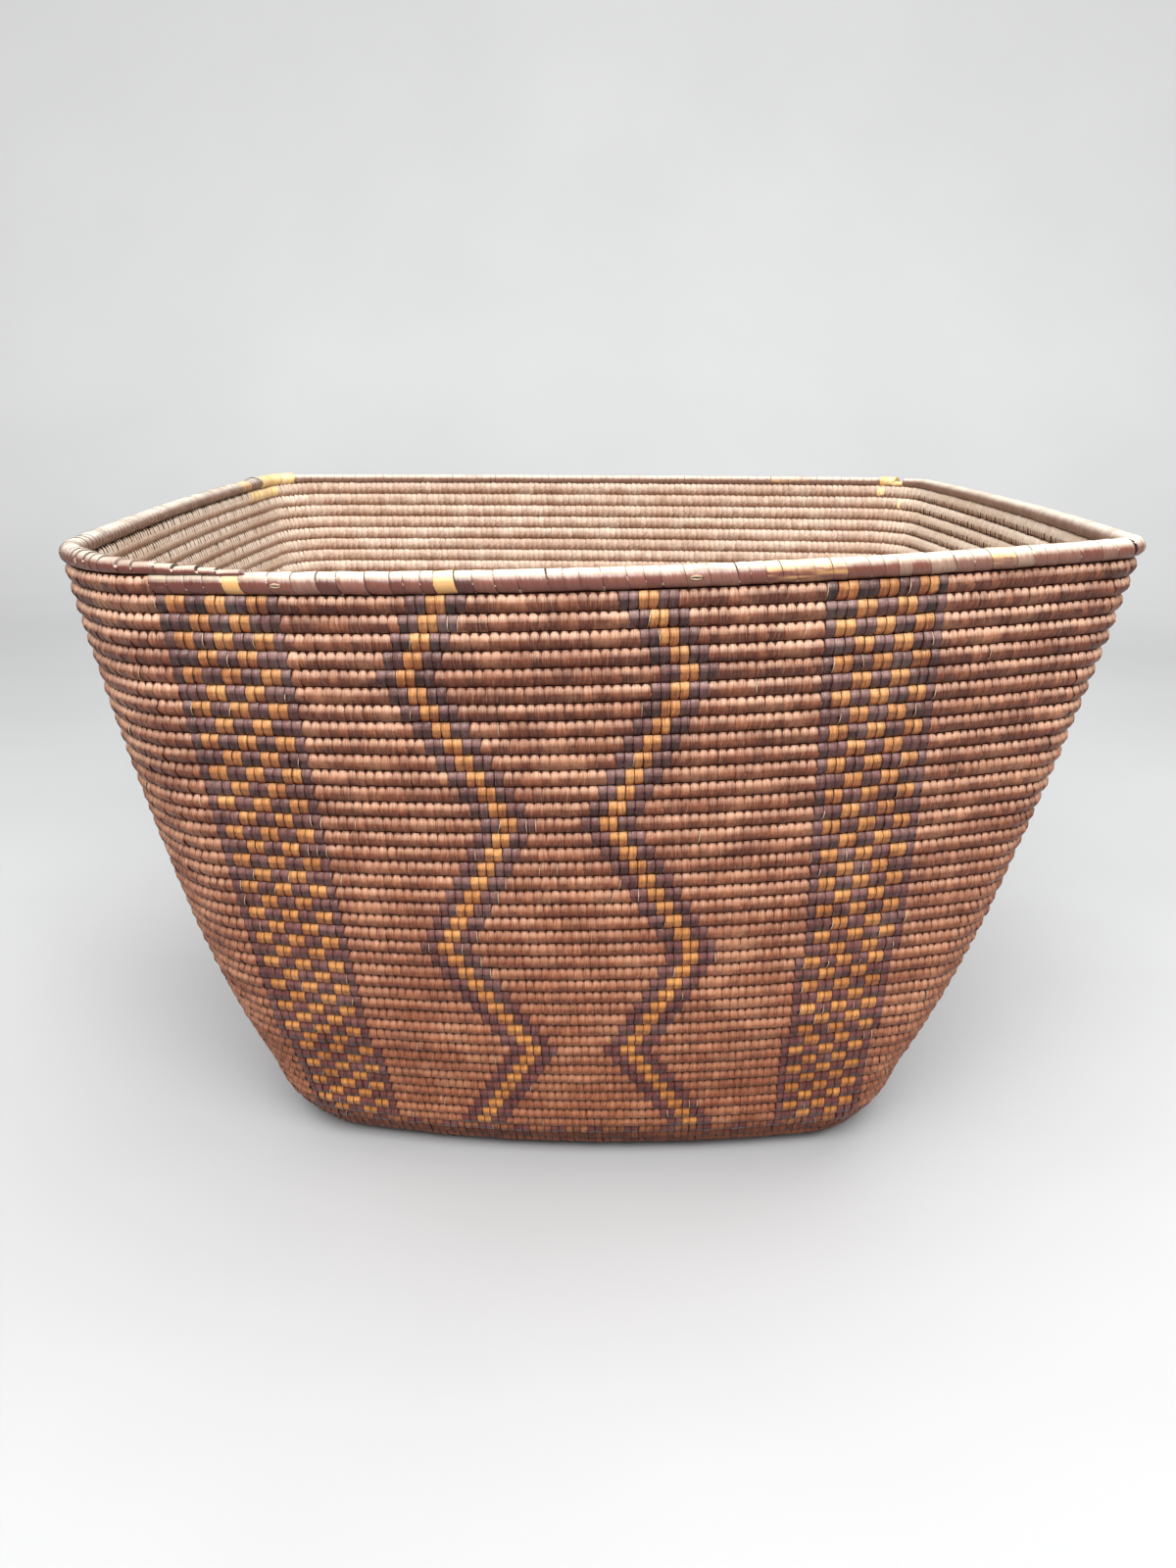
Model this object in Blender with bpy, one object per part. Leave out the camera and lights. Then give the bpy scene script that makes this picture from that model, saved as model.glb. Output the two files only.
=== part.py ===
"""An imbricated coiled basket, oblong and flaring, with one spiral coil from the floor to the rim.

Metres, +Z up, front towards -Y. The coil starts round the floor's core, runs counter-clockwise
seen from above, climbs the wall one pitch a turn and tapers out on the rim at the front left.
Each turn of the coil is an object of its own, and seats on the turn below it.
"""

import math

import bmesh
import bpy
import numpy as np

# The coil, as the maker sets it
COIL_PITCH = 0.0073
COIL_THICKNESS = 0.0074
PLAIN_THICKNESS = 0.0066
RIM_THICKNESS = 0.0092
RIM_HEIGHT = 0.0078
SEAT_WIDTH = 0.0036
FLOOR_PITCH = 0.0073
FLOOR_THICKNESS = 0.0073
FLOOR_FLAT_SHARE = 0.5
GAP = 0.0003

# How many turns of each kind
FLOOR_TURNS = 5
WALL_TURNS = 43
PLAIN_WALL_TURNS = 3

# The floor's core: the coil folded back and forth into a panel of this many lengths
CORE_LENGTHS = 19
CORE_GROOVE_DEPTH = 0.0014

# The base, to the start of the wall
BASE_HALF_WIDTH = 0.131
BASE_HALF_DEPTH = 0.097
BASE_BOW_LONG_SIDES = 0.0153
BASE_BOW_ENDS = 0.0355
BASE_CORNER = 0.013

# The lean away from upright, in degrees, at these courses: the floor lies flat and turns up into the wall
LEAN_COURSES = (-2.3, 0.0, 1.0, 2.0, 3.0, 4.5, 8.0, 14.0, 22.0, 44.0)
LEAN_DEGREES = (90.0, 45.0, 32.0, 30.5, 28.5, 18.2, 23.0, 18.0, 13.8, 8.8)

# The end walls lean less than the long ones: their share of the lean, at the base and at the rim
END_WALL_LEAN_AT_BASE = 0.785
END_WALL_LEAN_AT_RIM = 0.890

# The rim's plan: corners front left, front right, back right, back left
RIM_CORNERS = (0.036, 0.0095, 0.030, 0.031)
RIM_BOW_FRONT = 0.038
RIM_BOW_BACK = 0.008
RIM_BOW_ENDS = 0.009

# How a hand-made rim strays from the base: its front wall turned, its right end higher, and a twist
RIM_TURN_FRONT = 0.010
RIM_LIFT = 0.007
RIM_WARP = -0.002

# Where the coil is cut into turns, along the front wall from its left corner
TURN_START = 0.115

# The rim's size against its way round, 0 to 8 from the front's left end, a side and then a corner
RIM_SIZE_WAYS = (0.0, 2.0, 3.0, 3.5, 5.3, 5.8, 7.0, 8.0)
RIM_SIZES = (1.0, 0.95, 0.80, 0.68, 0.68, 0.85, 0.93, 1.0)

# Breaks in the rim, as distances past the start of a corner, and its tapered end
RIM_TAPER_LENGTH = 0.076
RIM_TIP_SHARE = 0.10
NOTCH_FROM_CORNER = 0.023
NOTCH_LENGTH = 0.008
NOTCH_BINDING_HEIGHT = 0.0030
SPLICE_FROM_CORNER = 0.066
SPLICE_SWELL = 0.15
SPLICE_SWELL_LENGTH = 0.018
RIM_END_ROUND = 0.0016
RIM_END_SHARE = 0.72

# Facets: parts of each corner's arc, and of each straight side between its corners
CORNER_PARTS = (2, 2, 3, 3)
FRONT_POINTS = (0.32, 0.54, 0.77)
END_POINTS = (0.33, 0.67)
BACK_POINTS = (0.5,)

FRONT_LEFT, FRONT_RIGHT, BACK_RIGHT, BACK_LEFT = range(4)
CORNER_SIGNS = ((-1, -1), (1, -1), (1, 1), (-1, 1))

RIM_TURN = WALL_TURNS
TOP_LEVEL = WALL_TURNS + 1.0


def build_profile():
    """Height and outward run of the basket's middle surface, against the level in courses.

    Level 0 is the start of the wall. The floor's levels are below it, and the run is counted from it."""
    levels = np.arange(-FLOOR_TURNS - 1.0, TOP_LEVEL + 1.0, 0.025)
    middles = 0.5 * (levels[1:] + levels[:-1])
    lean = np.radians(np.interp(middles, LEAN_COURSES, LEAN_DEGREES))
    step = np.diff(levels) * np.where(middles < 0.0, FLOOR_PITCH, COIL_PITCH)
    rise = np.concatenate([[0.0], np.cumsum(np.cos(lean) * step)])
    run = np.concatenate([[0.0], np.cumsum(np.sin(lean) * step)])
    return levels, rise, run - np.interp(0.0, levels, run)


PROFILE_LEVELS, PROFILE_RISE, PROFILE_RUN = build_profile()


def stations():
    """The places along one turn: ('side', i, share) between corner i and the next, or ('corner', i, share)."""
    corner = [
        [("corner", i, j / parts) for j in range(parts + 1)] for i, parts in enumerate(CORNER_PARTS)
    ]
    places = [("side", FRONT_LEFT, TURN_START)]
    places += [("side", FRONT_LEFT, share) for share in FRONT_POINTS]
    places += corner[FRONT_RIGHT]
    places += [("side", FRONT_RIGHT, share) for share in END_POINTS]
    places += corner[BACK_RIGHT]
    places += [("side", BACK_RIGHT, share) for share in BACK_POINTS]
    places += corner[BACK_LEFT]
    places += [("side", BACK_LEFT, share) for share in END_POINTS]
    places += corner[FRONT_LEFT]
    return places


STATIONS = stations()
TURN_SEGMENTS = len(STATIONS)


def outline(level):
    """The middle of the wall or floor at one level, a point for each station."""
    grown = min(max(level / WALL_TURNS, 0.0), 1.0)
    run = float(np.interp(level, PROFILE_LEVELS, PROFILE_RUN))
    height = 0.5 * FLOOR_THICKNESS + float(np.interp(level, PROFILE_LEVELS, PROFILE_RISE))
    end_share = END_WALL_LEAN_AT_BASE + (END_WALL_LEAN_AT_RIM - END_WALL_LEAN_AT_BASE) * grown
    half_width = BASE_HALF_WIDTH + run * (end_share if run > 0.0 else 1.0)
    half_depth = BASE_HALF_DEPTH + run
    bow_share = min(half_depth / BASE_HALF_DEPTH, 1.0)
    radii = [
        min(BASE_CORNER + (rim - BASE_CORNER) * grown, 0.96 * half_depth, 0.96 * half_width)
        for rim in RIM_CORNERS
    ]
    bow_front = (BASE_BOW_LONG_SIDES + (RIM_BOW_FRONT - BASE_BOW_LONG_SIDES) * grown) * bow_share
    bow_back = (BASE_BOW_LONG_SIDES + (RIM_BOW_BACK - BASE_BOW_LONG_SIDES) * grown) * bow_share
    bow_ends = (BASE_BOW_ENDS + (RIM_BOW_ENDS - BASE_BOW_ENDS) * grown) * bow_share

    def on_corner(index, share):
        sign_x, sign_y = CORNER_SIGNS[index]
        radius = radii[index]
        angle = math.radians(180.0 + 90.0 * (index + share))
        x = sign_x * (half_width - radius) + radius * math.cos(angle)
        y = sign_y * (half_depth - radius) + radius * math.sin(angle)
        return x, y

    points = []
    for kind, index, share in STATIONS:
        if kind == "corner":
            x, y = on_corner(index, share)
        else:
            x0, y0 = on_corner(index, 1.0)
            x1, y1 = on_corner((index + 1) % 4, 0.0)
            x = x0 + (x1 - x0) * share
            y = y0 + (y1 - y0) * share
        across = x / half_width
        along = y / half_depth
        bow_y = bow_back if y > 0.0 else -bow_front
        y += bow_y * (1.0 - across**2) * along**4
        x += math.copysign(bow_ends, x) * (1.0 - along**2) * across**4
        if along < 0.0:
            y += RIM_TURN_FRONT * across * along**2 * grown
        points.append((x, y, height + grown * across * (RIM_LIFT + RIM_WARP * along)))
    return np.array(points)


def unit(vectors):
    return vectors / np.linalg.norm(vectors, axis=-1, keepdims=True)


FRAMES = {}


def frames(level):
    """At one level, each station's point, direction out through the wall and direction up the wall."""
    key = round(level, 6)
    if key not in FRAMES:
        points = outline(level)
        edges = unit(np.roll(points, -1, axis=0) - points)
        coil_way = unit(edges + np.roll(edges, 1, axis=0))
        up_wall = unit(outline(level + 0.02) - outline(level - 0.02))
        outward = unit(np.cross(coil_way, up_wall))
        FRAMES[key] = (points, outward, up_wall, coil_way)
    return FRAMES[key]


def climb_shares():
    """How much of one turn's climb is done at each station, by length along the coil."""
    points = outline(0.5 * WALL_TURNS)
    lengths = np.linalg.norm(np.roll(points, -1, axis=0) - points, axis=1)
    return np.concatenate([[0.0], np.cumsum(lengths) / lengths.sum()])


CLIMB = climb_shares()


def wall_profile(thickness):
    """A wall coil's section: (share of the pitch from its middle, distance out), flat where it seats."""
    seat = 0.5 * SEAT_WIDTH
    return (
        (-0.5, -seat),
        (-0.5, seat),
        (0.0, 0.5 * thickness),
        (0.5, seat),
        (0.5, -seat),
        (0.0, -0.5 * thickness),
    )


def floor_profile():
    """A floor coil's section: rounded on top, and worn flat under the floor."""
    seat = 0.5 * SEAT_WIDTH
    half = 0.5 * FLOOR_THICKNESS
    flat = 0.5 * FLOOR_FLAT_SHARE
    return (
        (-0.5, -seat),
        (-0.5, seat),
        (-flat, half),
        (flat, half),
        (0.5, seat),
        (0.5, -seat),
        (0.0, -half),
    )


def rim_profile(size):
    """The rim's round section on the top course, drawn in towards its seat as size falls below 1."""
    seat = 0.5 * SEAT_WIDTH
    half = 0.5 * RIM_THICKNESS * (0.45 + 0.55 * size)
    tall = RIM_HEIGHT / COIL_PITCH * size
    seat = min(seat, 0.8 * half)
    return (
        (-0.5, -seat),
        (-0.5, seat),
        (-0.5 + 0.42 * tall, half),
        (-0.5 + 0.82 * tall, 0.68 * half),
        (-0.5 + tall, 0.0),
        (-0.5 + 0.82 * tall, -0.68 * half),
        (-0.5 + 0.42 * tall, -half),
    )


def section(turn, station, profile):
    """The profile's points at one station of one turn, its seats drawn back by half the gap."""
    level = turn + CLIMB[station]
    place = station % TURN_SEGMENTS
    points = []
    for share, out in profile:
        at, outward, up_wall, _ = frames(level + share)
        seat_gap = 0.0
        if share == -0.5:
            seat_gap = 0.5 * GAP
        if share == 0.5:
            seat_gap = -0.5 * GAP
        points.append(at[place] + outward[place] * out + up_wall[place] * seat_gap)
    return np.array(points)


def coil_direction(turn, station):
    return frames(turn + CLIMB[station])[3][station % TURN_SEGMENTS]


def section_between(turn, position, profile):
    """The same at any position along the turn: between two stations it lies on the straight facets."""
    first = min(int(position), TURN_SEGMENTS - 1)
    share = position - first
    return (1.0 - share) * section(turn, first, profile) + share * section(turn, first + 1, profile)


def make_material(name, colour, roughness):
    material = bpy.data.materials.new(name)
    material.use_nodes = True
    shader = material.node_tree.nodes["Principled BSDF"]
    shader.inputs["Base Color"].default_value = (*colour, 1.0)
    shader.inputs["Roughness"].default_value = roughness
    shader.inputs["Metallic"].default_value = 0.0
    return material


def add_object(name, points, faces, colour, roughness=0.7, flat_faces=()):
    mesh = bpy.data.meshes.new(name)
    mesh.from_pydata([tuple(point) for point in points], [], faces)
    for polygon in mesh.polygons:
        polygon.use_smooth = polygon.index not in flat_faces
    mesh.materials.append(make_material(name, colour, roughness))
    mesh.update()
    bpy.context.scene.collection.objects.link(bpy.data.objects.new(name, mesh))


def add_tube(name, rings, upper_seat, colour, roughness=0.7):
    """A solid through a list of rings, each with the same count of points, the first two of them the
    lower seat's. Both seats split along the same diagonal, so that a seat and its neighbour's match."""
    count = len(rings[0])
    lower_seat = 0
    points = np.concatenate(rings)
    faces = []
    seats = []
    for ring in range(len(rings) - 1):
        for side in range(count):
            a = ring * count + side
            b = ring * count + (side + 1) % count
            if side in (lower_seat, upper_seat):
                seats += [len(faces), len(faces) + 1]
            if side == upper_seat:
                faces += [(a, a + count, b), (b, a + count, b + count)]
            else:
                faces += [(a, b + count, b), (a, a + count, b + count)]
    last = (len(rings) - 1) * count
    for side in range(1, count - 1):
        seats += [len(faces), len(faces) + 1]
        faces.append((0, side, side + 1))
        faces.append((last, last + side + 1, last + side))
    add_object(name, points, faces, colour, roughness, set(seats))


def turn_rings(turn, profile):
    """One full turn, from its start to the next turn's start, with half the gap left at each end."""
    rings = [section(turn, station, profile) for station in range(TURN_SEGMENTS + 1)]
    rings[0] = rings[0] + coil_direction(turn, 0) * 0.5 * GAP
    rings[-1] = rings[-1] - coil_direction(turn, TURN_SEGMENTS) * 0.5 * GAP
    return rings


def add_core(name, edge, colour, roughness):
    """The panel inside the floor's coils: flat below, and grooved above between its lengths of coil."""
    front = edge[:, 1].min()
    length_pitch = (edge[:, 1].max() - front) / CORE_LENGTHS
    shape = bmesh.new()
    under = [shape.verts.new((x, y, 0.0)) for x, y, _ in edge]
    over = [shape.verts.new((x, y, FLOOR_THICKNESS)) for x, y, _ in edge]
    shape.faces.new(reversed(under))
    shape.faces.new(over)
    for side, low in enumerate(under):
        after = (side + 1) % len(under)
        shape.faces.new((low, under[after], over[after], over[side]))
    for line in range(1, 2 * CORE_LENGTHS):
        top = [face for face in shape.faces if all(v.co.z > 0.5 * FLOOR_THICKNESS for v in face.verts)]
        edges = {edge_of for face in top for edge_of in face.edges}
        place = (0.0, front + 0.5 * line * length_pitch, 0.0)
        bmesh.ops.bisect_plane(
            shape, geom=top + list(edges), dist=0.00005, plane_co=place, plane_no=(0.0, 1.0, 0.0)
        )
    for vertex in shape.verts:
        if vertex.co.z > 0.5 * FLOOR_THICKNESS:
            across_length = (vertex.co.y - front) / length_pitch % 1.0
            vertex.co.z -= CORE_GROOVE_DEPTH * abs(2.0 * across_length - 1.0)
    mesh = bpy.data.meshes.new(name)
    shape.to_mesh(mesh)
    shape.free()
    mesh.materials.append(make_material(name, colour, roughness))
    bpy.context.scene.collection.objects.link(bpy.data.objects.new(name, mesh))


def make_floor():
    first = -FLOOR_TURNS
    edge = []
    for station in range(TURN_SEGMENTS + 1):
        at, _, up_wall, coil_way = frames(first - 0.5 + CLIMB[station])
        place = station % TURN_SEGMENTS
        point = at[place] - up_wall[place] * 0.5 * GAP
        if place == 0:
            point = point - coil_way[place] * 0.5 * GAP
        edge.append(point)
    add_core("floor_core", np.array(edge), (0.36, 0.22, 0.12), 0.8)
    for index in range(FLOOR_TURNS):
        rings = turn_rings(first + index, floor_profile())
        add_tube(f"floor_coil_{index + 1}", rings, 4, (0.42, 0.26, 0.14), 0.8)


def make_wall():
    for turn in range(WALL_TURNS):
        plain = turn < PLAIN_WALL_TURNS
        thickness = PLAIN_THICKNESS if plain else COIL_THICKNESS
        colour = (0.42, 0.24, 0.11) if plain else (0.30, 0.14, 0.09)
        add_tube(f"wall_course_{turn + 1:02d}", turn_rings(turn, wall_profile(thickness)), 3, colour)


def way_round(place):
    """How far round the plan a station lies, 0 to 8: sides at even counts, corners between them."""
    kind, index, share = place
    if kind == "side":
        return 2.0 * index + share
    return (2.0 * index - 1.0) % 8.0 + share


def length_along_rim():
    """Distance along the rim at each station."""
    points = np.array(
        [frames(RIM_TURN + CLIMB[k])[0][k % TURN_SEGMENTS] for k in range(TURN_SEGMENTS + 1)]
    )
    return np.concatenate([[0.0], np.cumsum(np.linalg.norm(np.diff(points, axis=0), axis=1))])


def rim_piece(name, start, end, size_at, rounded_ends, colour):
    """A length of the rim between two distances along it."""
    lengths = length_along_rim()
    cuts = [start, end]
    if rounded_ends[0]:
        cuts.append(start + RIM_END_ROUND)
    if rounded_ends[1]:
        cuts.append(end - RIM_END_ROUND)
    inner = [value for value in lengths if min(abs(value - cut) for cut in cuts) > 0.001]
    cuts += [value for value in inner if start < value < end]
    rings = []
    for cut in sorted(cuts):
        size = size_at(cut)
        if (rounded_ends[0] and cut == start) or (rounded_ends[1] and cut == end):
            size *= RIM_END_SHARE
        position = float(np.interp(cut, lengths, np.arange(TURN_SEGMENTS + 1)))
        rings.append(section_between(RIM_TURN, position, rim_profile(size)))
    add_tube(name, rings, None, colour, 0.6)


def make_rim():
    lengths = length_along_rim()
    total = lengths[-1]
    notch_start = lengths[STATIONS.index(("corner", BACK_RIGHT, 0.0))] + NOTCH_FROM_CORNER
    notch_end = notch_start + NOTCH_LENGTH
    splice = lengths[STATIONS.index(("corner", BACK_LEFT, 0.0))] + SPLICE_FROM_CORNER
    ways = [way_round(place) for place in STATIONS] + [way_round(STATIONS[0]) + 8.0]
    brown = (0.26, 0.13, 0.10)

    def full(distance):
        return float(np.interp(np.interp(distance, lengths, ways), RIM_SIZE_WAYS, RIM_SIZES))

    def tapering(distance):
        left = min(max((total - distance) / RIM_TAPER_LENGTH, 0.0), 1.0)
        swell = 1.0 + SPLICE_SWELL * max(1.0 - (distance - splice) / SPLICE_SWELL_LENGTH, 0.0)
        return full(distance) * swell * (RIM_TIP_SHARE + (1.0 - RIM_TIP_SHARE) * left)

    half_gap = 0.5 * GAP
    binding_size = NOTCH_BINDING_HEIGHT / RIM_HEIGHT
    rim_piece("rim_coil_front", half_gap, notch_start, full, (False, True), brown)
    rim_piece("rim_coil_back", notch_end, splice - half_gap, full, (True, False), brown)
    rim_piece("rim_coil_left", splice + half_gap, total - half_gap, tapering, (True, False), brown)
    rim_piece(
        "rim_notch_binding",
        notch_start + GAP,
        notch_end - GAP,
        lambda _: binding_size,
        (False, False),
        (0.75, 0.55, 0.16),
    )


for existing in list(bpy.data.objects):
    bpy.data.objects.remove(existing, do_unlink=True)
make_floor()
make_wall()
make_rim()
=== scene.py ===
"""The look of an oblong imbricated basket: folds outside, slanted stitches inside, a bark-wrapped rim.

Metres, +Z up, front towards -Y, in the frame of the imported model. Everything follows the coil: a level
counted in courses from the start of the wall, and a way round the plan.
"""

import math

import bpy
import numpy as np
from mathutils import Matrix, Vector


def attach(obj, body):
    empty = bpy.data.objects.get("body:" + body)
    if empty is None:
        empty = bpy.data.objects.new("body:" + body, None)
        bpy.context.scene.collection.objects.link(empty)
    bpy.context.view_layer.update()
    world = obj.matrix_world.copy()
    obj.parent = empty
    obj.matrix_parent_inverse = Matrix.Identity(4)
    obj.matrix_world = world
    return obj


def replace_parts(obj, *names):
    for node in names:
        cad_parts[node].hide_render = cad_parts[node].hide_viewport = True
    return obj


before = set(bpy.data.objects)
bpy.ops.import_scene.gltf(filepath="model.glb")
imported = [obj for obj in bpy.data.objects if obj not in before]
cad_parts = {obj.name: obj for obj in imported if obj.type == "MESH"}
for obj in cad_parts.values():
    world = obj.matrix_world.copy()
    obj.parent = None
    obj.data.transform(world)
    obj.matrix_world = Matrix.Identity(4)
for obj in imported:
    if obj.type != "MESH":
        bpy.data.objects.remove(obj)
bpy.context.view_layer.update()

# The basket's driving sizes, the same as its CAD model's
COIL_PITCH = 0.0073
COIL_THICKNESS = 0.0074
RIM_THICKNESS = 0.0092
RIM_HEIGHT = 0.0078
FLOOR_PITCH = 0.0073
FLOOR_THICKNESS = 0.0073
FLOOR_TURNS = 5
WALL_TURNS = 43
CORE_LENGTHS = 19
BASE_HALF_WIDTH = 0.131
BASE_HALF_DEPTH = 0.097
BASE_BOW_LONG_SIDES = 0.0153
BASE_BOW_ENDS = 0.0355
BASE_CORNER = 0.013
LEAN_COURSES = (-2.3, 0.0, 1.0, 2.0, 3.0, 4.5, 8.0, 14.0, 22.0, 44.0)
LEAN_DEGREES = (90.0, 45.0, 32.0, 30.5, 28.5, 18.2, 23.0, 18.0, 13.8, 8.8)
END_WALL_LEAN_AT_BASE = 0.785
END_WALL_LEAN_AT_RIM = 0.890
RIM_CORNERS = (0.036, 0.0095, 0.030, 0.031)
RIM_BOW_FRONT = 0.038
RIM_BOW_BACK = 0.008
RIM_BOW_ENDS = 0.009
RIM_TURN_FRONT = 0.010
RIM_LIFT = 0.007
RIM_WARP = -0.002
TURN_START = 0.115
RIM_SIZE_WAYS = (0.0, 2.0, 3.0, 3.5, 5.3, 5.8, 7.0, 8.0)
RIM_SIZES = (1.0, 0.95, 0.80, 0.68, 0.68, 0.85, 0.93, 1.0)
RIM_TAPER_LENGTH = 0.076
RIM_TIP_SHARE = 0.10
NOTCH_FROM_CORNER = 0.023
NOTCH_LENGTH = 0.008
NOTCH_BINDING_HEIGHT = 0.0030
SPLICE_FROM_CORNER = 0.066
SPLICE_SWELL = 0.15
SPLICE_SWELL_LENGTH = 0.018

# The sewing: one stitch inside for each fold outside
STITCH = 0.0036
FOLD_HEIGHT = 0.0074
FOLD_RELIEF = 0.0040
SPLINT_RELIEF = 0.0036
FLOOR_RELIEF = 0.48 * FLOOR_THICKNESS
SPLINT_SLANT = -18.0
SEWING_UNEVENNESS = 0.00022
FOUNDATION_SHARE = 0.80
FOUNDATION_HEIGHT = 0.53 * FOLD_HEIGHT
FOUNDATION_SIDES = 8

# The pattern, in stitches across and courses down from the rim
BAND_STITCHES = 12
BAND_STARTS = ((-1, 27, (33,)), (1, 28, (25, 32)))
BAND_WIDER_AT_RIM = 0.11
ZIGZAG_START = 11
ZIGZAG_TURNS = (5, 14, 23, 32, 41)
LEFT_ZIGZAG_OUT_FROM = 1
RIGHT_ZIGZAG_OUT_FROM = 24
SMALL_CELL_ROW = 41
AXIS_AT_RIM = -0.0208
AXIS_DRIFT = 0.000535

# The rim's wraps of wide bark: their widths, paleness and twist at these ways round, and how they vary
WRAP_WAYS = (0.0, 0.9, 1.2, 2.0, 2.5, 3.0, 3.6, 5.0, 6.0, 7.4, 8.2)
WRAP_WIDTHS = (0.0086, 0.0092, 0.0070, 0.0044, 0.0034, 0.0040, 0.0052, 0.0054, 0.0042, 0.0048, 0.0092)
WRAP_SPREAD = 0.22
USUAL_TINT = 0.42
PALER_WAYS = (0.0, 0.6, 1.0, 1.5, 2.6, 3.2, 4.5, 5.6, 6.5, 7.3, 7.8, 8.2)
PALER_SHARES = (0.02, 0.10, 0.30, 0.38, 0.48, 0.1, 0.2, 0.45, 0.50, 0.40, -0.05, -0.15)
TINT_SPREAD_WAYS = (0.0, 1.0, 6.5, 7.5)
TINT_SPREADS = (0.20, 0.12, 0.14, 0.06)
# Share of each wrap's pale top at these ways round, partly wear and partly a painted highlight; it also sets
# how grey the rim's inner face is
WEAR_AND_SHEEN_WAYS = (7.3, 7.9)
WEAR_AND_SHEEN_SHARES = (1.0, 0.75)
TWIST_WAYS = (1.0, 1.6, 2.8, 3.4, 5.0, 5.8, 6.9, 7.4)
TWISTS = (0.0, 0.35, 0.35, 0.15, 0.15, 0.35, 0.35, 0.0)
NARROW_WRAP_SHARE = 0.30
NARROW_WRAP = 0.62
WRAP_LEAN = 0.12
WRAP_POINTS = 14
WRAP_UNEVENNESS = 0.0003
THREAD_WIDTH = 0.0021
THREAD_OVERLAP = 1.06
THREAD_UNEVENNESS = 0.0004

# Where yellow shows on the rim, as distances along it, and how much of the wrap it covers
GOLD_LENGTHS = (
    (0.0692, 0.0768, 1.0), (0.188, 0.221, 0.52), (0.2795, 0.2885, 0.56), (0.758, 0.783, 0.45),
    (1.167, 1.187, 0.6),
)

# The splits' middles and lengths, the repairs and the last course's wraps, as distances along the rim
BARK_SPLITS = ((0.0132, 0.0050), (0.1623, 0.0056))
SPLIT_ABOVE_MIDDLE = 0.0006
TUFT_LENGTH = 0.0085
NOTCH_SPOTS = ((WALL_TURNS - 1, 0.0125), (WALL_TURNS - 1, 0.015), (WALL_TURNS - 2, -0.002))
SPLICE_THREAD_LENGTH = 0.042
SPLICE_THREAD_BELOW = (-0.026, 0.022)
LAST_WRAP_TINTS = (0.15, 0.30, 0.20, 0.25, 0.9)
LAST_WRAP_GOLDS = (0.35, 0.0, 0.0, 0.0, 0.9)

# Kinds of strip, as the trees read them
RED, DARK, YELLOW, SMALL_LIGHT, PLAIN_ROOT, WIDE_BARK = range(6)

# Seeds of the floor's coils, its core, the rim and the last course's wraps
FLOOR_SEED = 101
CORE_SEED = 111
RIM_SEED = 201
LAST_COURSE_SEED = 211

# Sides of the plan, in the order of their ways
FRONT, RIGHT_END, BACK, LEFT_END = range(4)

# Where a row starts, and where each side of it starts and has its middle
ROW_START = -2.5
ROW_SIDES = ((ROW_START, LEFT_END, -1.5), (-0.5, FRONT, 0.5), (1.5, RIGHT_END, 2.5), (3.5, BACK, 4.5))

# Ways once round the plan, two for each side
ALL_ROUND = 8.0

CORNER_SIGNS = np.array([(-1, -1), (1, -1), (1, 1), (-1, 1)], float)
RIM_TURN = WALL_TURNS
WIDE_WRAPS_FROM = TURN_START + ALL_ROUND - 0.095
TOP_LEVEL = WALL_TURNS + 1.0


# The coil's path

def build_profile():
    """Height and outward run of the basket's middle surface against the level, run counted from level 0."""
    levels = np.arange(-FLOOR_TURNS - 1.0, TOP_LEVEL + 1.0, 0.025)
    middles = 0.5 * (levels[1:] + levels[:-1])
    lean = np.radians(np.interp(middles, LEAN_COURSES, LEAN_DEGREES))
    step = np.diff(levels) * np.where(middles < 0.0, FLOOR_PITCH, COIL_PITCH)
    rise = np.concatenate([[0.0], np.cumsum(np.cos(lean) * step)])
    run = np.concatenate([[0.0], np.cumsum(np.sin(lean) * step)])
    return levels, rise, run - np.interp(0.0, levels, run)


PROFILE_LEVELS, PROFILE_RISE, PROFILE_RUN = build_profile()


def between(start, end, share):
    return start + (end - start) * share


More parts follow.
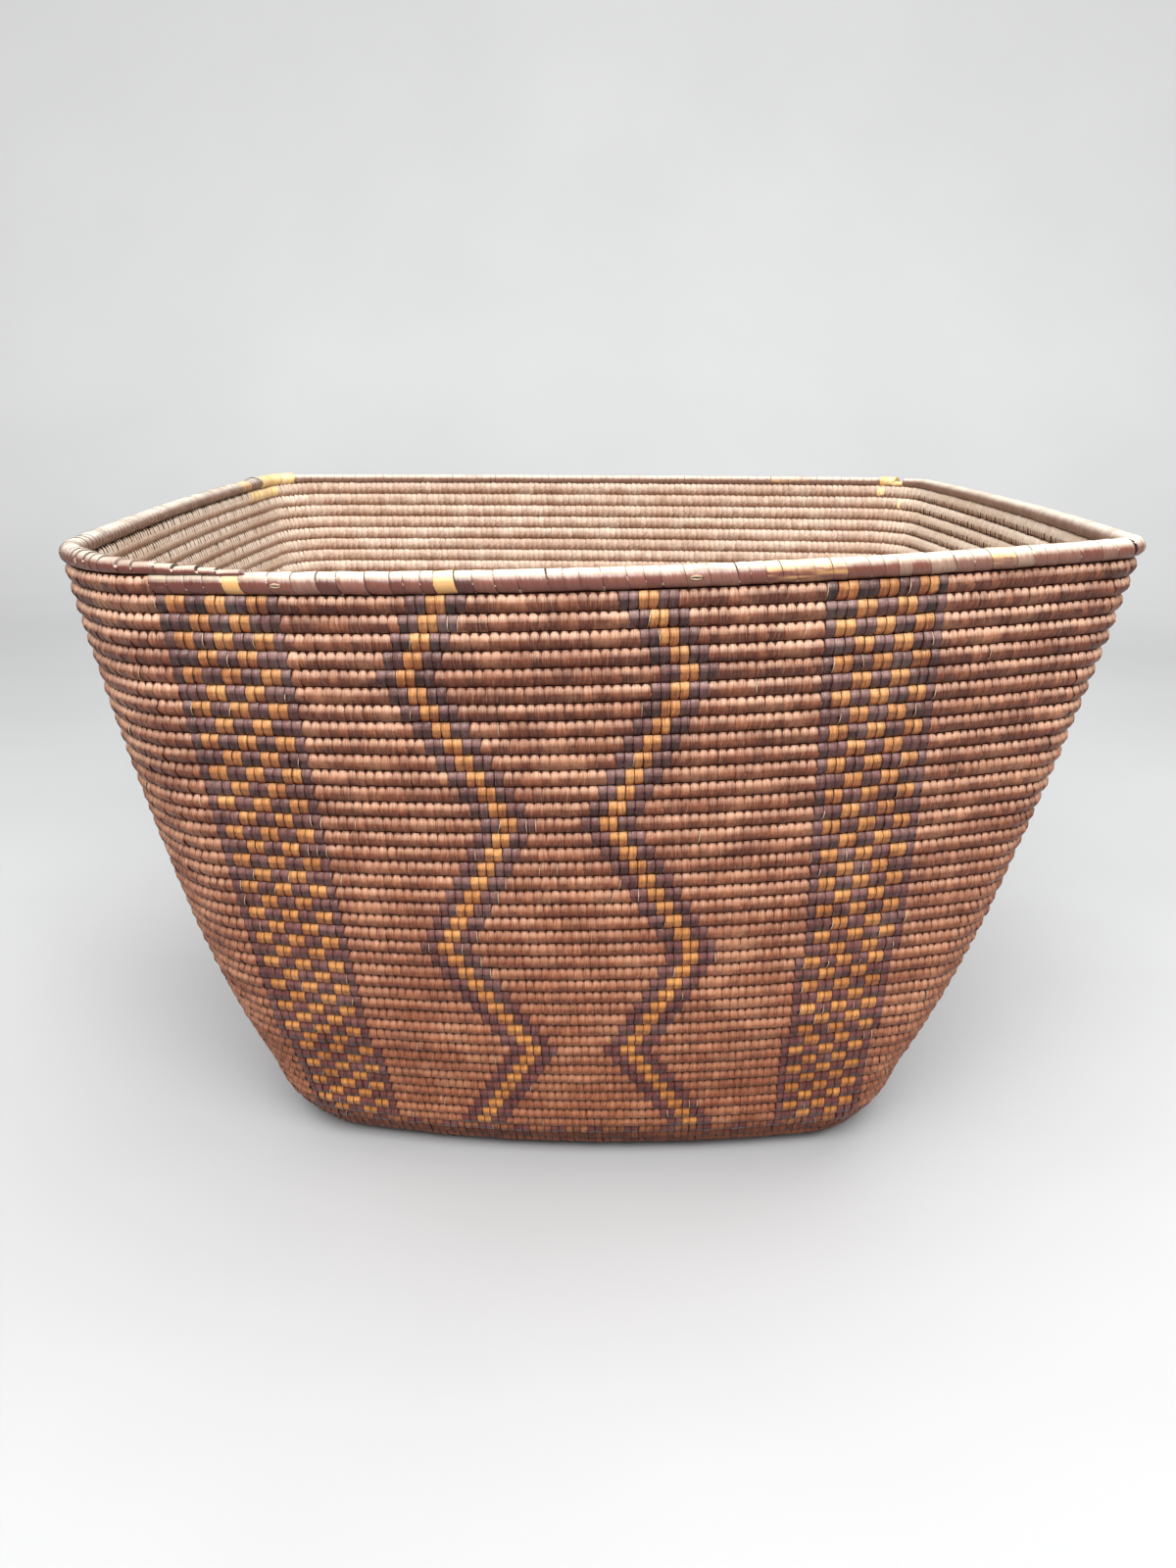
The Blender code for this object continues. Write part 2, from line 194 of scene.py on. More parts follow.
def surface(level, way):
    """Points of the middle surface. way runs 0 to 8, side and corner in turn, from the front's left end."""
    level, way = np.broadcast_arrays(np.asarray(level, float), np.mod(way, ALL_ROUND))
    grown = np.clip(level / WALL_TURNS, 0.0, 1.0)
    run = np.interp(level, PROFILE_LEVELS, PROFILE_RUN)
    height = 0.5 * FLOOR_THICKNESS + np.interp(level, PROFILE_LEVELS, PROFILE_RISE)
    end_share = between(END_WALL_LEAN_AT_BASE, END_WALL_LEAN_AT_RIM, grown)
    half_width = BASE_HALF_WIDTH + run * np.where(run > 0.0, end_share, 1.0)
    half_depth = BASE_HALF_DEPTH + run
    most = 0.96 * np.minimum(half_depth, half_width)
    radii = np.stack([np.minimum(between(BASE_CORNER, rim, grown), most) for rim in RIM_CORNERS], axis=-1)

    def on_corner(corner, share):
        radius = np.take_along_axis(radii, corner[..., None], axis=-1)[..., 0]
        angle = np.radians(180.0 + 90.0 * (corner + share))
        sign = CORNER_SIGNS[corner]
        x = sign[..., 0] * (half_width - radius) + radius * np.cos(angle)
        y = sign[..., 1] * (half_depth - radius) + radius * np.sin(angle)
        return x, y

    part = np.minimum(way.astype(int), 7)
    share = way - part
    side = part // 2
    x0, y0 = on_corner(side, np.ones_like(share))
    x1, y1 = on_corner((side + 1) % 4, np.zeros_like(share))
    # A side runs from its own corner's end to the next corner's start, then turns through that corner
    next_x, next_y = on_corner((side + 1) % 4, share)
    straight = part % 2 == 0
    x = np.where(straight, x0 + (x1 - x0) * share, next_x)
    y = np.where(straight, y0 + (y1 - y0) * share, next_y)
    across = x / half_width
    along = y / half_depth
    bow_share = np.minimum(half_depth / BASE_HALF_DEPTH, 1.0)
    bow_front = between(BASE_BOW_LONG_SIDES, RIM_BOW_FRONT, grown) * bow_share
    bow_back = between(BASE_BOW_LONG_SIDES, RIM_BOW_BACK, grown) * bow_share
    bow_ends = between(BASE_BOW_ENDS, RIM_BOW_ENDS, grown) * bow_share
    y = y + np.where(y > 0.0, bow_back, -bow_front) * (1.0 - across**2) * along**4
    x = x + np.sign(x) * bow_ends * (1.0 - along**2) * across**4
    y = y + np.where(along < 0.0, RIM_TURN_FRONT, 0.0) * across * along**2 * grown
    return np.stack([x, y, height + grown * across * (RIM_LIFT + RIM_WARP * along)], axis=-1)


def unit(vectors):
    return vectors / np.linalg.norm(vectors, axis=-1, keepdims=True)


def frames(level, way):
    """Points, and the directions along the coil, up the wall and out through it."""
    points = surface(level, way)
    up_wall = unit(surface(level + 0.02, way) - surface(level - 0.02, way))
    coil_way = unit(surface(level, way + 0.004) - surface(level, way - 0.004))
    outward = unit(np.cross(coil_way, up_wall))
    return points, coil_way, up_wall, outward


def run_lengths(points):
    return np.concatenate([[0.0], np.cumsum(np.linalg.norm(np.diff(points, axis=0), axis=1))])


TURN_WAYS = TURN_START + np.linspace(0.0, ALL_ROUND, 641)
_middle_turn = run_lengths(surface(0.5 * WALL_TURNS, TURN_WAYS))
CLIMB = _middle_turn / _middle_turn[-1]


def level_at(turn, way):
    """The coil's level: one turn starts at way TURN_START, and earlier ways lie on the turn before."""
    way = np.asarray(way, float)
    before = np.floor((way - TURN_START) / ALL_ROUND)
    return turn + before + np.interp(way - ALL_ROUND * before, TURN_WAYS, CLIMB)


# The sewing and the pattern

def checker_kind(row, column):
    """Bands of yellow pairs and dark pairs that change places at every course."""
    shift = 1 if row % 2 else 3
    inside = column - shift
    if 0 <= inside < BAND_STITCHES - 2 * shift and inside % 4 < 2:
        return YELLOW
    return DARK


def zigzag_reach(row):
    """How many stitches the zigzag's middle lies from the axis: out and in again, a stitch a course."""
    reach = ZIGZAG_START
    way = 1
    for course in range(2, row + 1):
        reach += way
        if course in ZIGZAG_TURNS:
            way = -way
    return reach - 1


def front_kind(row, stitch):
    for side, start, courses in BAND_STARTS:
        start = start - sum(row >= course for course in courses)
        column = stitch - start if side > 0 else stitch + start + BAND_STITCHES
        if 0 <= column < BAND_STITCHES:
            return checker_kind(row, column)
    outer = row >= (LEFT_ZIGZAG_OUT_FROM if stitch < 0 else RIGHT_ZIGZAG_OUT_FROM)
    from_axis = abs(stitch + 0.5) - zigzag_reach(row) - int(outer)
    if abs(from_axis) < 1.0:
        return YELLOW
    if abs(from_axis) < 3.0:
        return DARK
    return RED


def end_kind(row, stitch):
    column = stitch + BAND_STITCHES // 2
    if 0 <= column < BAND_STITCHES:
        return checker_kind(row, column)
    return RED


def kind_of(row, stitch, side):
    """row is counted down from the rim, stitch across from the side's axis."""
    if row > SMALL_CELL_ROW:
        return PLAIN_ROOT
    if row < 1:
        return RED
    if row == SMALL_CELL_ROW:
        return DARK if stitch % 5 in (0, 1) else SMALL_LIGHT
    if side in (FRONT, BACK):
        return front_kind(row, stitch)
    return end_kind(row, stitch)


def front_distance(stitch, row):
    """How far a stitch's edge lies from the axis. The bands' stitches are wider, most so near the rim."""
    wider = BAND_WIDER_AT_RIM * (1.0 - row / RIM_TURN)
    in_band = np.clip(np.abs(stitch) - BAND_STARTS[0][1], 0, BAND_STITCHES)
    return STITCH * (stitch + np.sign(stitch) * wider * in_band)


def row_stitches(level_row):
    """Stitches of one visual row, from the back left corner round the front and back again.

    The front's are counted from the pattern's axis. The other sides' fill what is left, so the row closes."""
    ways = np.linspace(ROW_START, ROW_START + ALL_ROUND, 1601)
    points = surface(level_at(level_row, ways), ways)
    lengths = run_lengths(points)
    row = RIM_TURN - level_row
    front = (ways > 0.0) & (ways < 1.0)
    axis_at = float(np.interp(AXIS_AT_RIM + AXIS_DRIFT * row, points[front, 0], lengths[front]))
    stitches = np.arange(-80, 81)
    places = axis_at + front_distance(stitches, row)
    in_front = (places > np.interp(-0.5, ways, lengths)) & (places < np.interp(1.5, ways, lengths))
    places = places[in_front]
    first = int(stitches[in_front][0])
    left = np.linspace(0.0, places[0], round(places[0] / STITCH) + 1)
    right = np.linspace(places[-1], lengths[-1], round((lengths[-1] - places[-1]) / STITCH) + 1)
    edges = np.concatenate([left[:-1], places[:-1], right])
    stitches = np.arange(len(edges) - 1) - (len(left) - 1) + first
    way = np.interp(0.5 * (edges[1:] + edges[:-1]), lengths, ways)
    axes = {side: stitches[np.argmin(np.abs(way - middle))] for _, side, middle in ROW_SIDES}
    axes[FRONT] = 0
    kinds = []
    for stitch, place in zip(stitches, way):
        side = [side for start, side, _ in ROW_SIDES if place > start][-1]
        kinds.append(kind_of(row, int(stitch - axes[side]), side))
    return way, np.array(kinds), np.diff(edges)


ROWS = {level_row: row_stitches(level_row) for level_row in range(0, RIM_TURN + 1)}


def turn_stitches(turn):
    """The stitches of one turn of the wall, in order: the rest of its own row, then the next row's start."""
    way, kind, wide = ROWS[turn]
    here = way >= TURN_START
    next_way, next_kind, next_wide = ROWS[turn + 1]
    there = next_way < TURN_START
    ways = np.concatenate([way[here], next_way[there] + ALL_ROUND])
    kinds = np.concatenate([kind[here], next_kind[there]])
    return ways, kinds, np.concatenate([wide[here], next_wide[there]])


# Meshes and their attributes

def new_mesh_object(name, points, edges=(), faces=()):
    mesh = bpy.data.meshes.new(name)
    mesh.from_pydata([tuple(point) for point in points], list(edges), list(faces))
    mesh.update()
    piece = bpy.data.objects.new(name, mesh)
    bpy.context.scene.collection.objects.link(piece)
    return piece


def marked_points(name, points, edges=(), **marks):
    """Points, each with what its strips or its wrap need to know."""
    piece = new_mesh_object(name, points, edges)
    for key, values in marks.items():
        values = np.asarray(values)
        vector = values.ndim == 2
        whole = values.dtype.kind == "i"
        kind = "FLOAT_VECTOR" if vector else "INT" if whole else "FLOAT"
        attribute = piece.data.attributes.new(key, kind, "POINT")
        values = values.astype(np.int32 if whole else np.float32)
        attribute.data.foreach_set("vector" if vector else "value", values.ravel())
    return piece


def strip_mesh(name, points, faces, corners):
    """A mesh with each face corner's place on the strip, smooth but for its flat back or ends."""
    piece = new_mesh_object(name, points, faces=faces)
    layer = piece.data.uv_layers.new(name="strip")
    layer.data.foreach_set("uv", np.array(corners, np.float32).ravel())
    piece.data.polygons.foreach_set("use_smooth", [len(face) == 4 for face in faces])
    return piece


def strip_shape(name, across, along, place):
    """A closed bit of strip: a front bent by place(u, v), and a flat back hidden in the coil."""
    flat = [(u, v) for v in along for u in across]
    wide = len(across)
    grid = np.arange(len(flat)).reshape(-1, wide)
    faces = [(a, a + 1, a + wide + 1, a + wide) for a in grid[:-1, :-1].ravel().tolist()]
    border = np.concatenate([grid[0], grid[1:, -1], grid[-1, -2::-1], grid[-2:0:-1, 0]])
    faces.append(tuple(reversed(border.tolist())))
    corners = [(0.5 + 0.5 * flat[i][0], 0.5 + 0.5 * flat[i][1]) for face in faces for i in face]
    return strip_mesh(name, [place(u, v) for u, v in flat], faces, corners)


def coil_swell(v):
    """How far a strip stands out at v, from -1 under the coil to 1 on top of it, as a round coil does."""
    return math.sqrt(max(1.0 - v * v, 0.0))


def red_fold_place(u, v):
    """A field fold: a round crest with a short notch at each side, and running into its neighbours below."""
    top = max(v, 0.0)
    side = abs(u)
    half_width = 0.50 * (1.12 - 0.34 * top**5)
    height = 0.5 * v * (1.03 - 0.24 * top * u * u) - 0.02
    notch = 0.42 * max(v - 0.12, 0.0) ** 0.8 * side**2.2
    swell = 0.20 + 0.80 * coil_swell(0.97 * v - 0.08 * (1.0 - v * v))
    relief = swell - notch - 0.035 * side**2 + 0.015 * u
    if side > 0.99 and v > 0.3:
        relief = min(relief, 0.60)
    return (u * half_width, height, relief)


def square_fold_place(u, v):
    """A pattern fold: squarish, with a crease a third down and its lower end drawn in to the left."""
    low = max(-v, 0.0)
    side = abs(u)
    half_width = 0.50 * (1.0 - 0.14 * low**3)
    shift = -0.07 * low**2
    swell = 0.24 + 0.76 * coil_swell(0.95 * v)
    crease = 0.05 if v > 0.30 else -0.02
    relief = swell - 0.035 * side**4 + crease * (1.0 - abs(v))
    if side > 0.99:
        relief = relief - 0.10
    return (u * half_width + shift, 0.5 * v * (1.02 - 0.03 * u * u) - 0.02, relief)


def splint_place(u, v):
    """A stitch inside: a narrow splint bent over the coil."""
    side = abs(u)
    relief = 0.24 + 0.76 * coil_swell(0.96 * v) - 0.02 * side**2
    if side > 0.99:
        relief = relief - 0.02
    return (u * 0.57 * (1.0 + 0.05 * v * v), 0.52 * v, relief)


def sliver_place(u, v):
    """A pale sliver of splint that stands up between two stitches."""
    return (0.5 + 0.045 * u + 0.03 * v, 0.47 * v, 0.30 + 0.80 * coil_swell(0.93 * v) - 0.05 * abs(u))


def split_place(u, v):
    """A split in the bark, 1 long: two lips with a slot between them, running out to points."""
    tall = 0.24 * max(1.0 - u * u, 0.02)
    lip = 1.0 - abs(2.0 * abs(v) - 1.0)
    return (0.5 * u, tall * v, 0.10 * (1.0 - u * u) * lip)


def wrap_shape():
    """One wrap round the rim, 1 wide: its right edge lies over the next wrap, and its top leans left."""
    rings = ((-0.53, 0.94), (-0.50, 0.982), (-0.25, 0.992), (0.30, 1.0), (0.50, 1.004), (0.53, 0.95))
    last = len(rings) - 1
    points = []
    for along, radius in rings:
        for step in range(WRAP_POINTS):
            angle = math.tau * step / WRAP_POINTS - 0.5 * math.pi
            height = radius * math.sin(angle)
            points.append((along - WRAP_LEAN * height, height, radius * math.cos(angle)))
    corners = [
        [(ring, step), (ring, step + 1), (ring + 1, step + 1), (ring + 1, step)]
        for ring in range(last) for step in range(WRAP_POINTS)
    ]
    corners.append([(0, step) for step in reversed(range(WRAP_POINTS))])
    corners.append([(last, step) for step in range(WRAP_POINTS)])
    faces = [tuple(ring * WRAP_POINTS + step % WRAP_POINTS for ring, step in face) for face in corners]
    places = [(rings[ring][0] + 0.5, step / WRAP_POINTS) for face in corners for ring, step in face]
    return strip_mesh("wrap_shape", points, faces, places)


SHAPES = {
    "Red Fold": strip_shape(
        "red_fold_shape", (-1.0, -0.66, 0.0, 0.66, 1.0), (-1.0, -0.8, -0.4, 0.05, 0.45, 0.78, 0.94),
        red_fold_place,
    ),
    "Square Fold": strip_shape(
        "square_fold_shape", (-1.0, -0.86, 0.0, 0.86, 1.0), (-1.0, -0.8, -0.35, 0.26, 0.34, 0.75, 0.97),
        square_fold_place,
    ),
    "Splint": strip_shape("splint_shape", (-1.0, 0.0, 1.0), (-1.0, -0.75, 0.0, 0.75, 1.0), splint_place),
    "Sliver": strip_shape("sliver_shape", (-1.0, 0.0, 1.0), (-0.9, -0.3, 0.3, 0.95), sliver_place),
}
WRAP = wrap_shape()


# Materials

class Nodes:
    """A node tree, laid down with few words."""

    def fill(self, socket, value):
        """Links another node's output to a socket, or sets the socket to a value."""
        if isinstance(value, bpy.types.NodeSocket):
            self.tree.links.new(value, socket)
        else:
            socket.default_value = value

    def node(self, kind, inputs=None, **settings):
        made = self.tree.nodes.new(kind)
        for key, value in settings.items():
            setattr(made, key, value)
        for key, value in (inputs or {}).items():
            self.fill(made.inputs[key], value)
        return made

    def out(self, kind, inputs=None, **settings):
        """The first output of a new node."""
        return self.node(kind, inputs, **settings).outputs[0]

    def maths(self, operation, a, b=0.0):
        return self.out("ShaderNodeMath", {0: a, 1: b}, operation=operation)

    def product(self, first, *others):
        for other in others:
            first = self.maths("MULTIPLY", first, other)
        return first


class Finish(Nodes):
    """A material's nodes, and the colour that they have come to."""

    def __init__(self, name):
        self.material = bpy.data.materials.new(name)
        self.material.use_nodes = True
        self.tree = self.material.node_tree
        self.shader = self.tree.nodes["Principled BSDF"]

    def set(self, name, value):
        self.fill(self.shader.inputs[name], value)

    def attribute(self, name):
        return self.node("ShaderNodeAttribute", attribute_name=name).outputs["Fac"]

    def vector(self, source):
        """Places on the object, or on its strip: across it, then along it."""
        if source == "Object":
            return self.node("ShaderNodeTexCoord").outputs["Object"]
        return self.out("ShaderNodeUVMap", uv_map="strip")

    def sides(self, source):
        """The three numbers of a place."""
        return self.node("ShaderNodeSeparateXYZ", {0: self.vector(source)}).outputs

    def noise(self, source, scale, detail=2.0, apart=None):
        """Noise at a scale per unit of its source. apart, a number for each strip, sets the strips apart."""
        vector = self.out("ShaderNodeMapping", {"Vector": self.vector(source), "Scale": scale})
        inputs = {"Vector": vector, "Scale": 1.0, "Detail": detail}
        if apart is None:
            return self.out("ShaderNodeTexNoise", inputs)
        inputs["W"] = self.maths("MULTIPLY", apart, 37.0)
        return self.out("ShaderNodeTexNoise", inputs, noise_dimensions="4D")

    def off(self, value, middle=0.0):
        """How far a value lies from a middle one."""
        return self.maths("ABSOLUTE", self.maths("SUBTRACT", value, middle))

    def spread(self, value, low, high, to_low=0.0, to_high=1.0):
        inputs = {"Value": value, "From Min": low, "From Max": high, "To Min": to_low, "To Max": to_high}
        return self.out("ShaderNodeMapRange", inputs, clamp=True)

    def ramp(self, value, stops):
        """Colours between positions 0 and 1."""
        made = self.node("ShaderNodeValToRGB", {"Fac": value})
        elements = made.color_ramp.elements
        while len(elements) < len(stops):
            elements.new(0.5)
        for element, (position, colour) in zip(elements, stops):
            element.position = position
            element.color = painted(colour)
        return made.outputs["Color"]

    def mix(self, share, a, b, blend="MIX"):
        inputs = {0: share, 6: painted(a), 7: painted(b)}
        return self.node("ShaderNodeMix", inputs, data_type="RGBA", blend_type=blend).outputs[2]

    def bump(self, height, strength, distance, under=None):
        inputs = {"Height": height, "Strength": strength, "Distance": distance}
        if under is not None:
            inputs["Normal"] = under
        return self.out("ShaderNodeBump", inputs)

    def lay(self, colour, value, low, high, most=1.0, blend="MIX"):
        """Lays a colour over the finish's own, by how far a value has come from low to high."""
        self.colour = self.mix(self.spread(value, low, high, 0.0, most), self.colour, colour, blend)

    def done(self, roughness, normal=None):
        self.set("Base Color", self.colour)
        self.set("Roughness", roughness)
        if normal is not None:
            self.set("Normal", normal)
        return self.material


def painted(colour):
    """A colour for a socket: another node's output, or one written 0 to 255 as the eye sees it."""
    if isinstance(colour, bpy.types.NodeSocket):
        return colour
    shares = [value / 255.0 for value in colour]
    linear = [share / 12.92 if share <= 0.04045 else ((share + 0.055) / 1.055) ** 2.4 for share in shares]
    return (*linear, 1.0)


def strip_finish(
    name, shades, lit, foot_shade, streak, roughness, worn, worn_share=0.3, edge_from=-1.0, low_colour=None,
    edge_shade_colour=(46, 12, 4), painted_end_light=None,
):
    """Bark or grass strip: a shade for each strip, paler on its top, partly wear and partly a painted
    highlight, and darker at its foot, a painted shade.

    Fibres run along it, wear comes in patches, and its edges are darkened above edge_from, a painted shade
    where strips meet. low_colour is what its shades draw near at the bottom of the wall, and
    painted_end_light, a painted light, is what they draw near at the basket's two ends."""
    finish = Finish(name)
    tint = finish.attribute("tint")
    finish.colour = finish.ramp(tint, shades)
    x, y, z = finish.sides("Object")
    if low_colour is not None:
        finish.lay(low_colour, z, 0.31, 0.05, 0.3)
        lit = finish.mix(finish.spread(z, 0.31, 0.05, 0.0, 0.6), lit, low_colour)
    # Painted light: the shades and the highlight lightened towards painted_end_light at the two ends
    if painted_end_light is not None:
        past_corner = finish.maths("SUBTRACT", finish.off(x), finish.product(finish.off(y), 1.15))
        finish.lay(painted_end_light, past_corner, -0.02, 0.03, 0.7)
        lit = finish.mix(finish.spread(past_corner, -0.02, 0.03, 0.0, 0.7), lit, painted_end_light)
    across, along, _ = finish.sides("strip")
    fibres = finish.noise("strip", (9.0, 1.2, 1.0), 3.0, tint)
    patches = finish.noise("Object", (60.0, 60.0, 60.0), 3.0)
    # Painted highlight, partly wear: lit laid on each strip's top, in patches, and less of it low on the wall
    highlight_and_rubbing = finish.product(
        finish.spread(along, 0.58, 0.84), finish.spread(patches, 0.30, 0.60, 0.40, 1.0),
        finish.spread(z, 0.02, 0.28, 0.42, 1.0),
    )
    finish.lay(lit, highlight_and_rubbing, 0.0, 1.0)
    # Painted shade: each strip darkened towards its foot
    finish.lay(foot_shade, along, 0.50, 0.12, 0.9, "MULTIPLY")
    finish.lay(streak, finish.noise("Object", (11.0, 11.0, 130.0)), 0.38, 0.68, 0.55, "MULTIPLY")
    finish.lay(streak, fibres, 0.45, 0.72, 0.85, "MULTIPLY")
    finish.lay(worn, fibres, 0.44, 0.28, 0.40)
    finish.lay(worn, patches, 0.52, 0.75, worn_share)
    # Painted shade: the strip's edges darkened above edge_from, where strips meet
    edge_shade = finish.spread(finish.off(across, 0.5), 0.41, 0.49)
    edge_shade = finish.product(edge_shade, finish.spread(along, edge_from, edge_from + 0.25))
    finish.lay(edge_shade_colour, edge_shade, 0.0, 1.0, 0.8)
    finish.set("Specular IOR Level", 0.35)
    fine = finish.noise("strip", (26.0, 3.0, 1.0), 2.0, tint)
    dented = finish.bump(finish.noise("Object", (420.0, 420.0, 420.0)), 0.7, 0.0009)
    fibrous = finish.bump(fibres, 0.8, 0.00035, dented)
    rough = finish.spread(fibres, 0.3, 0.8, roughness - 0.07, roughness + 0.13)
    return finish.done(rough, finish.bump(fine, 0.6, 0.00015, fibrous))


# After its shades each strip gets lit, a painted highlight; foot_shade, a painted shade; streak; roughness;
# its worn colour and share; edge_from; and low_colour
RED_BARK = strip_finish(
    "red_bark",
    ((0.0, (84, 44, 34)), (0.3, (106, 60, 46)), (0.7, (126, 76, 56)), (1.0, (152, 98, 72))),
    (242, 204, 176), (206, 158, 130), (166, 116, 94), 0.42, (198, 144, 110), 0.42, 0.45, (212, 126, 72),
)
DARK_BARK = strip_finish(
    "dark_bark",
    ((0.0, (42, 20, 20)), (0.5, (76, 42, 42)), (1.0, (104, 66, 64))),
    (170, 138, 132), (190, 148, 134), (150, 114, 104), 0.26, (140, 118, 114), 0.34, -1.0, (150, 52, 40),
)
YELLOW_GRASS = strip_finish(
    "yellow_grass",
    ((0.0, (140, 82, 50)), (0.4, (168, 108, 66)), (0.8, (194, 130, 78)), (1.0, (212, 154, 96))),
    (240, 190, 134), (210, 164, 132), (176, 126, 92), 0.32, (228, 168, 106), 0.30, -1.0, (248, 162, 50),
)
LIGHT_ROOT = strip_finish(
    "light_root_cells",
    ((0.0, (118, 62, 42)), (0.6, (150, 86, 54)), (1.0, (176, 112, 70))),
    (196, 140, 104), (190, 150, 130), (176, 130, 108), 0.5, (180, 130, 96),
)
PLAIN_SPLINT = strip_finish(
    "plain_splint",
    ((0.0, (78, 38, 26)), (0.5, (108, 56, 36)), (1.0, (140, 80, 52))),
    (168, 102, 70), (186, 140, 116), (160, 112, 90), 0.50, (160, 98, 66),
)
INSIDE_SPLINT = strip_finish(
    "inside_splint",
    ((0.0, (171, 145, 127)), (0.4, (185, 159, 140)), (0.8, (196, 171, 152)), (1.0, (205, 184, 166))),
    (213, 194, 177), (188, 154, 134), (216, 196, 178), 0.50, (204, 185, 166), 0.5,
    edge_shade_colour=(142, 104, 80), painted_end_light=(250, 236, 218),
)


def foundation_finish():
    """The bundle of split root in the coil, dark on its outer side as a painted shade where it shows between
    the folds, and paler on its inner side.
    """
    finish = Finish("foundation_root")
    fibres = finish.noise("Object", (240.0, 240.0, 900.0), 3.0)
    # Painted shade: this dark colour stands for the shade in the gaps between the folds
    finish.colour = finish.ramp(fibres, ((0.3, (48, 14, 5)), (0.7, (90, 38, 20))))
    inner = finish.ramp(fibres, ((0.3, (126, 92, 70)), (0.7, (160, 124, 96))))
    x, y, _ = finish.sides("Object")
    normal = finish.node("ShaderNodeNewGeometry").outputs["Normal"]
    normal_x, normal_y, _ = finish.node("ShaderNodeSeparateXYZ", {0: normal}).outputs
    outward = finish.maths("ADD", finish.product(x, normal_x), finish.product(y, normal_y))
    finish.lay(inner, outward, 0.02, -0.02)
    return finish.done(0.75, finish.bump(fibres, 0.5, 0.0003))


def rim_finish():
    """Wide bark on the rim: a shade for each wrap, its top pale with wear and a painted highlight, with thin
    dark seams.

    The strip's second coordinate runs round the rim: 0 below, 0.25 outside, 0.5 on top, 0.75 inside."""
    finish = Finish("rim_bark")
    tint = finish.attribute("tint")
    shades = (
        (0.0, (82, 40, 35)), (0.3, (106, 56, 46)), (0.6, (126, 76, 63)), (0.85, (138, 102, 88)),
        (1.0, (160, 130, 112)),
    )
    finish.colour = finish.ramp(tint, shades)
    across, along, _ = finish.sides("strip")
    grain = finish.noise("strip", (16.0, 5.0, 1.0), 3.0, tint)
    finish.lay((166, 136, 124), grain, 0.42, 0.74, 0.55, "MULTIPLY")
    patches = finish.noise("Object", (52.0, 52.0, 90.0), 4.0)
    from_top = finish.off(along, 0.53)
    ragged = finish.maths("ADD", from_top, finish.spread(grain, 0.3, 0.7, -0.018, 0.018))
    # Each wrap's share of the pale top, partly wear and partly a painted highlight
    worn = finish.attribute("worn")
    top_highlight_and_wear = finish.product(
        finish.spread(ragged, 0.215, 0.10), finish.spread(patches, 0.26, 0.50, 0.55, 1.0), worn
    )
    at_ends = finish.spread(finish.off(finish.sides("Object")[0]), 0.165, 0.205)
    inside = finish.product(finish.spread(along, 0.62, 0.72), worn)
    finish.lay(finish.mix(grain, (112, 84, 70), (164, 136, 116)), inside, 0.0, 1.0, 0.6)
    finish.lay(finish.mix(at_ends, (222, 204, 184), (216, 202, 186)), top_highlight_and_wear, 0.0, 1.0)
    streaks = finish.noise("Object", (70.0, 260.0, 620.0))
    gold = finish.maths("ADD", streaks, finish.attribute("gold"))
    gold = finish.maths("SUBTRACT", gold, finish.spread(from_top, 0.14, 0.34, 0.0, 0.24))
    finish.lay(finish.mix(top_highlight_and_wear, (204, 156, 100), (240, 216, 170)), gold, 0.80, 1.12)
    # Painted shade: each wrap darkened along its underside
    finish.lay((128, 100, 92), along, 0.16, 0.04, 0.75, "MULTIPLY")
    strength = finish.maths("MAXIMUM", finish.spread(patches, 0.35, 0.6, 0.50, 1.0), at_ends)
    seam = finish.product(finish.spread(finish.off(across, 0.5), 0.470, 0.50), strength)
    dashes = finish.spread(finish.noise("Object", (90.0, 90.0, 700.0)), 0.60, 0.64)
    finish.lay(finish.mix(dashes, (46, 24, 20), (214, 196, 178)), seam, 0.0, 1.0)
    rough = finish.spread(patches, 0.3, 0.7, 0.34, 0.54)
    return finish.done(rough, finish.bump(grain, 0.5, 0.0002, finish.bump(patches, 0.4, 0.0006)))


def thread_finish():
    """Flat yellow thread of the repairs, shining a little."""
    finish = Finish("yellow_thread")
    tint = finish.attribute("tint")
    shades = ((0.0, (226, 190, 126)), (0.5, (240, 212, 152)), (1.0, (248, 230, 184)))
    finish.colour = finish.ramp(tint, shades)
    fibres = finish.noise("strip", (9.0, 3.0, 1.0), 3.0, tint)
    finish.lay((214, 180, 130), fibres, 0.45, 0.8, 0.5, "MULTIPLY")
    finish.lay((150, 100, 50), finish.off(finish.sides("strip")[0], 0.5), 0.44, 0.52, 0.55)
    return finish.done(finish.spread(fibres, 0.3, 0.7, 0.32, 0.48), finish.bump(fibres, 0.5, 0.0002))


def split_finish():
    """Pale fibre at a split's lips, and dark root down in it."""
    finish = Finish("split_bark")
    fibres = finish.noise("strip", (3.0, 14.0, 1.0), 3.0)
    from_slot = finish.off(finish.sides("strip")[1], 0.5)
    from_slot = finish.maths("ADD", from_slot, finish.spread(fibres, 0.3, 0.7, -0.05, 0.05))
    shades = ((0.08, (52, 26, 20)), (0.20, (216, 190, 158)), (0.46, (150, 104, 84)))
    finish.colour = finish.ramp(from_slot, shades)
    return finish.done(finish.spread(fibres, 0.3, 0.7, 0.5, 0.7), finish.bump(fibres, 0.6, 0.0003))


FOUNDATION_ROOT_SHADE = foundation_finish()
RIM_BARK = rim_finish()
YELLOW_THREAD = thread_finish()
PALE_SLIVER = strip_finish(
    "pale_sliver", ((0.0, (206, 176, 146)), (1.0, (240, 218, 190))),
    (255, 240, 220), (190, 160, 140), (220, 200, 180), 0.5, (240, 220, 200),
)


# Node trees

